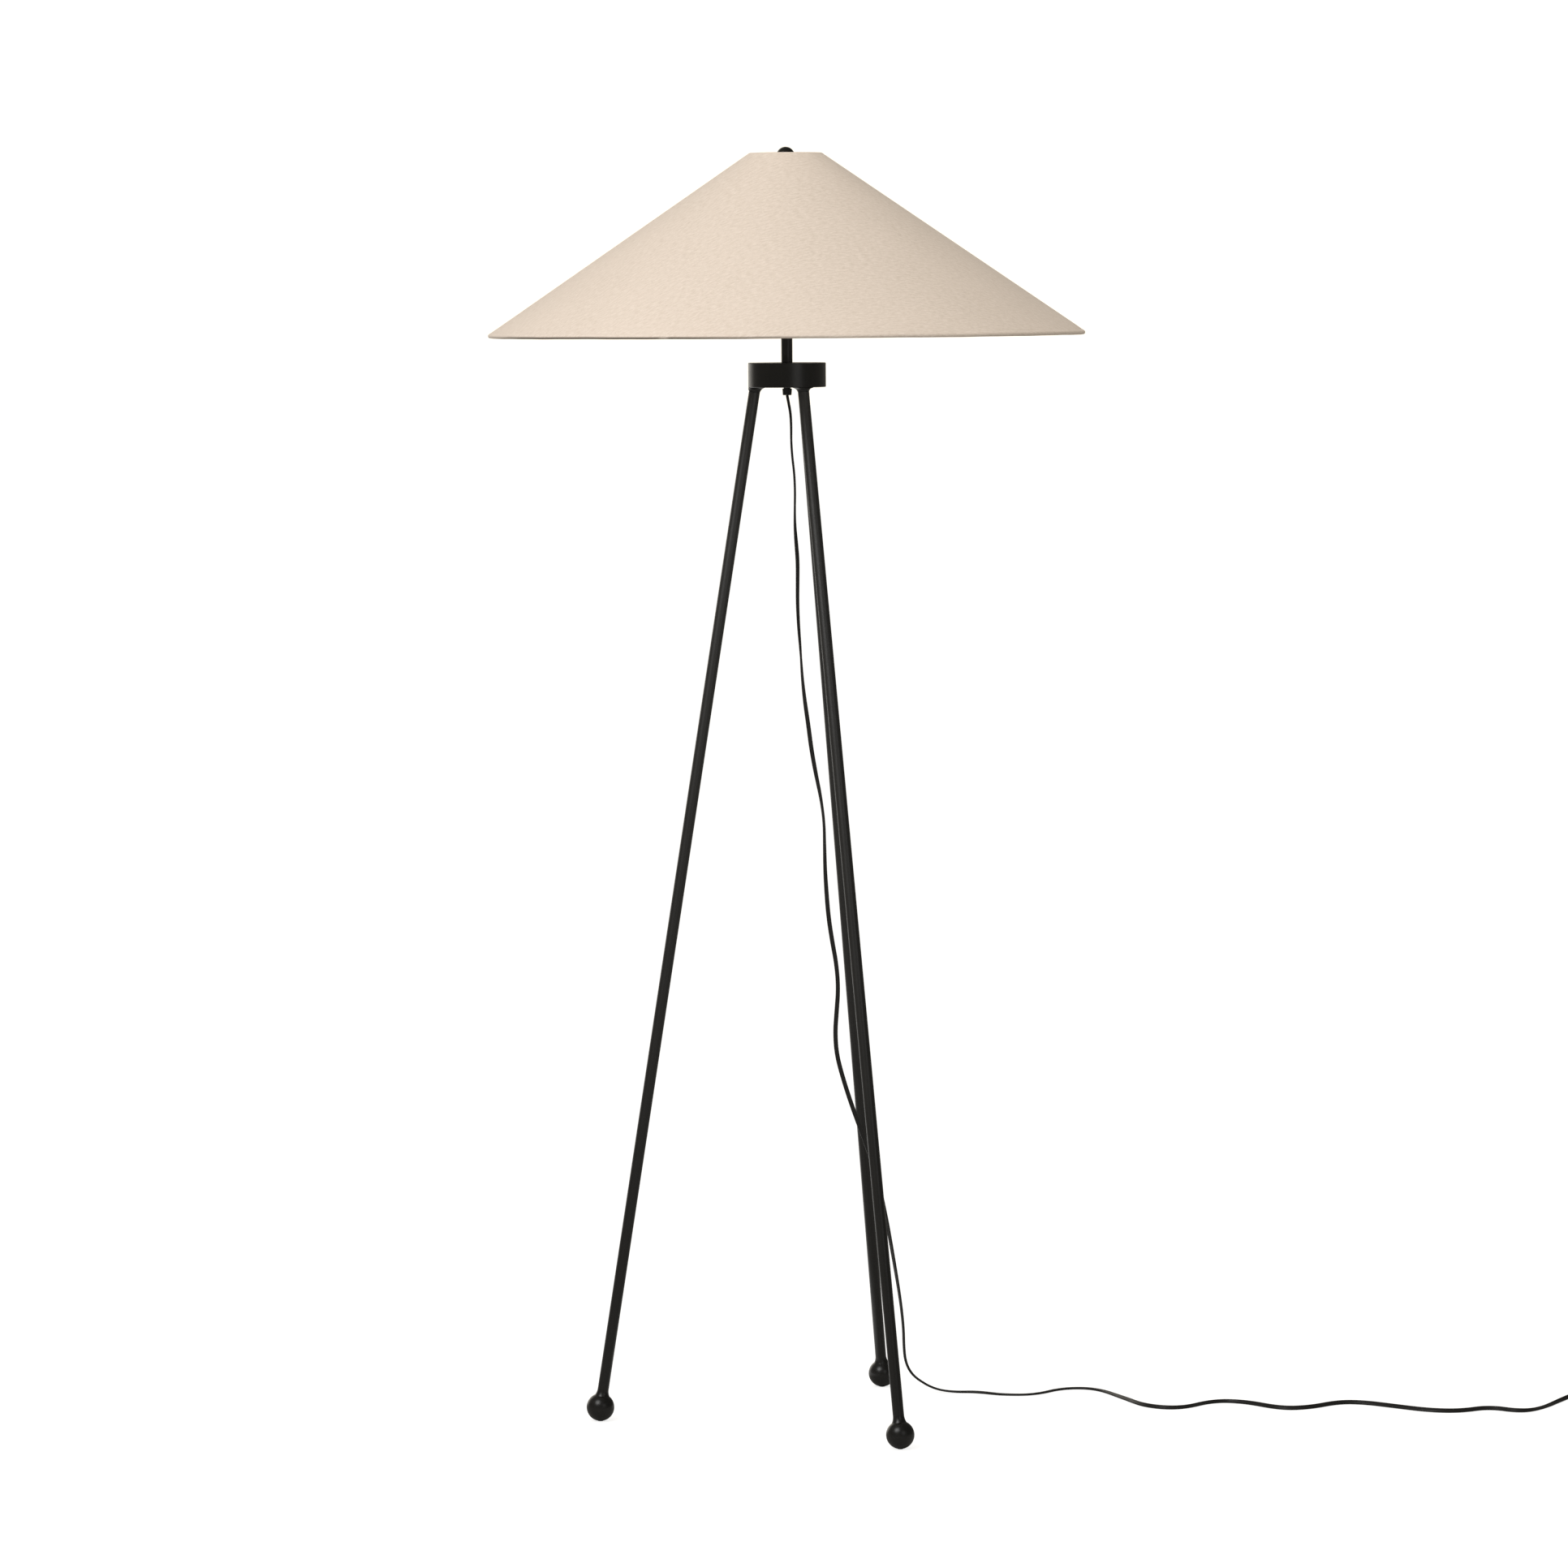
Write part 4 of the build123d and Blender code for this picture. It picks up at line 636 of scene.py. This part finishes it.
paper = bpy.data.materials.new("floor_paper")
paper.use_nodes = True
tree = paper.node_tree
tree.nodes.remove(tree.nodes["Principled BSDF"])
matt = add_node(tree, "ShaderNodeBsdfDiffuse", {"Color": (0.42, 0.42, 0.42, 1.0)})
place = add_node(tree, "ShaderNodeTexCoord").outputs["Object"]
place_way = add_node(tree, "ShaderNodeVectorMath", {0: place}, operation="NORMALIZE").outputs["Vector"]
floor_share = background_share(tree, place_way, dim=0.0, bright=0.78, seen=0.78)[0]
glow = add_node(tree, "ShaderNodeEmission", {"Strength": floor_share})
summed = add_node(tree, "ShaderNodeAddShader", {0: matt.outputs[0], 1: glow.outputs[0]})
tree.links.new(summed.outputs[0], tree.nodes["Material Output"].inputs["Surface"])
floor_side, floor_far = 30, 60
floor_corners = [(-floor_side, -floor_side, 0), (floor_side, -floor_side, 0),
                 (floor_side, floor_far, 0), (-floor_side, floor_far, 0)]
floor_mesh = bpy.data.meshes.new("floor")
floor_mesh.from_pydata(floor_corners, [], [(0, 1, 2, 3)])
floor_mesh.materials.append(paper)
floor = bpy.data.objects.new("floor", floor_mesh)
scene.collection.objects.link(floor)
floor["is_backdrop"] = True


def add_softbox(name, place, target, size, power):
    """A round area light at a place, turned so that it shines at the target."""
    light = bpy.data.lights.new(name, "AREA")
    light.shape, light.size, light.energy = "DISK", size, power
    box = bpy.data.objects.new(name, light)
    facing = Vector(place) - Vector(target)
    box.matrix_world = Matrix.Translation(place) @ facing.to_track_quat("Z", "Y").to_matrix().to_4x4()
    scene.collection.objects.link(box)


add_softbox("key_light", (-1.41, -1.94, 2.5), (0.0, 0.0, 1.1), 1.8, 39.5)
add_softbox("second_light", (1.25, -2.4, 1.12), (0.0, 0.0, 0.7), 1.3, 3.0)

# Camera: a long lens at chest height, nearly seven metres in front of the lamp. It is turned by two
# degrees, tipped down by five and rolled by less than one.
focal_px, photo_px, sensor_mm = 7422.26, 1932, 36.0
camera_place = np.array((-0.2502, -6.8192, 1.2911))
turned, tipped, rolled = 0.035693, 0.082121, -0.007123
level_ahead = np.array((np.sin(turned), np.cos(turned), 0.0))
ahead = np.cos(tipped) * level_ahead - np.array((0.0, 0.0, np.sin(tipped)))
level_right = np.array((np.cos(turned), -np.sin(turned), 0.0))
level_above = np.cross(level_right, ahead)
right = np.cos(rolled) * level_right + np.sin(rolled) * level_above
above = np.cos(rolled) * level_above - np.sin(rolled) * level_right
camera_data = bpy.data.cameras.new("camera")
camera_data.sensor_fit, camera_data.sensor_width = "HORIZONTAL", sensor_mm
camera_data.lens = focal_px / photo_px * sensor_mm
camera = bpy.data.objects.new("camera", camera_data)
axes = Matrix(np.column_stack((right, above, -ahead)))
camera.matrix_world = Matrix.Translation(camera_place) @ axes.to_4x4()
scene.collection.objects.link(camera)
scene.camera = camera

bpy.context.view_layer.update()
low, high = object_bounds()
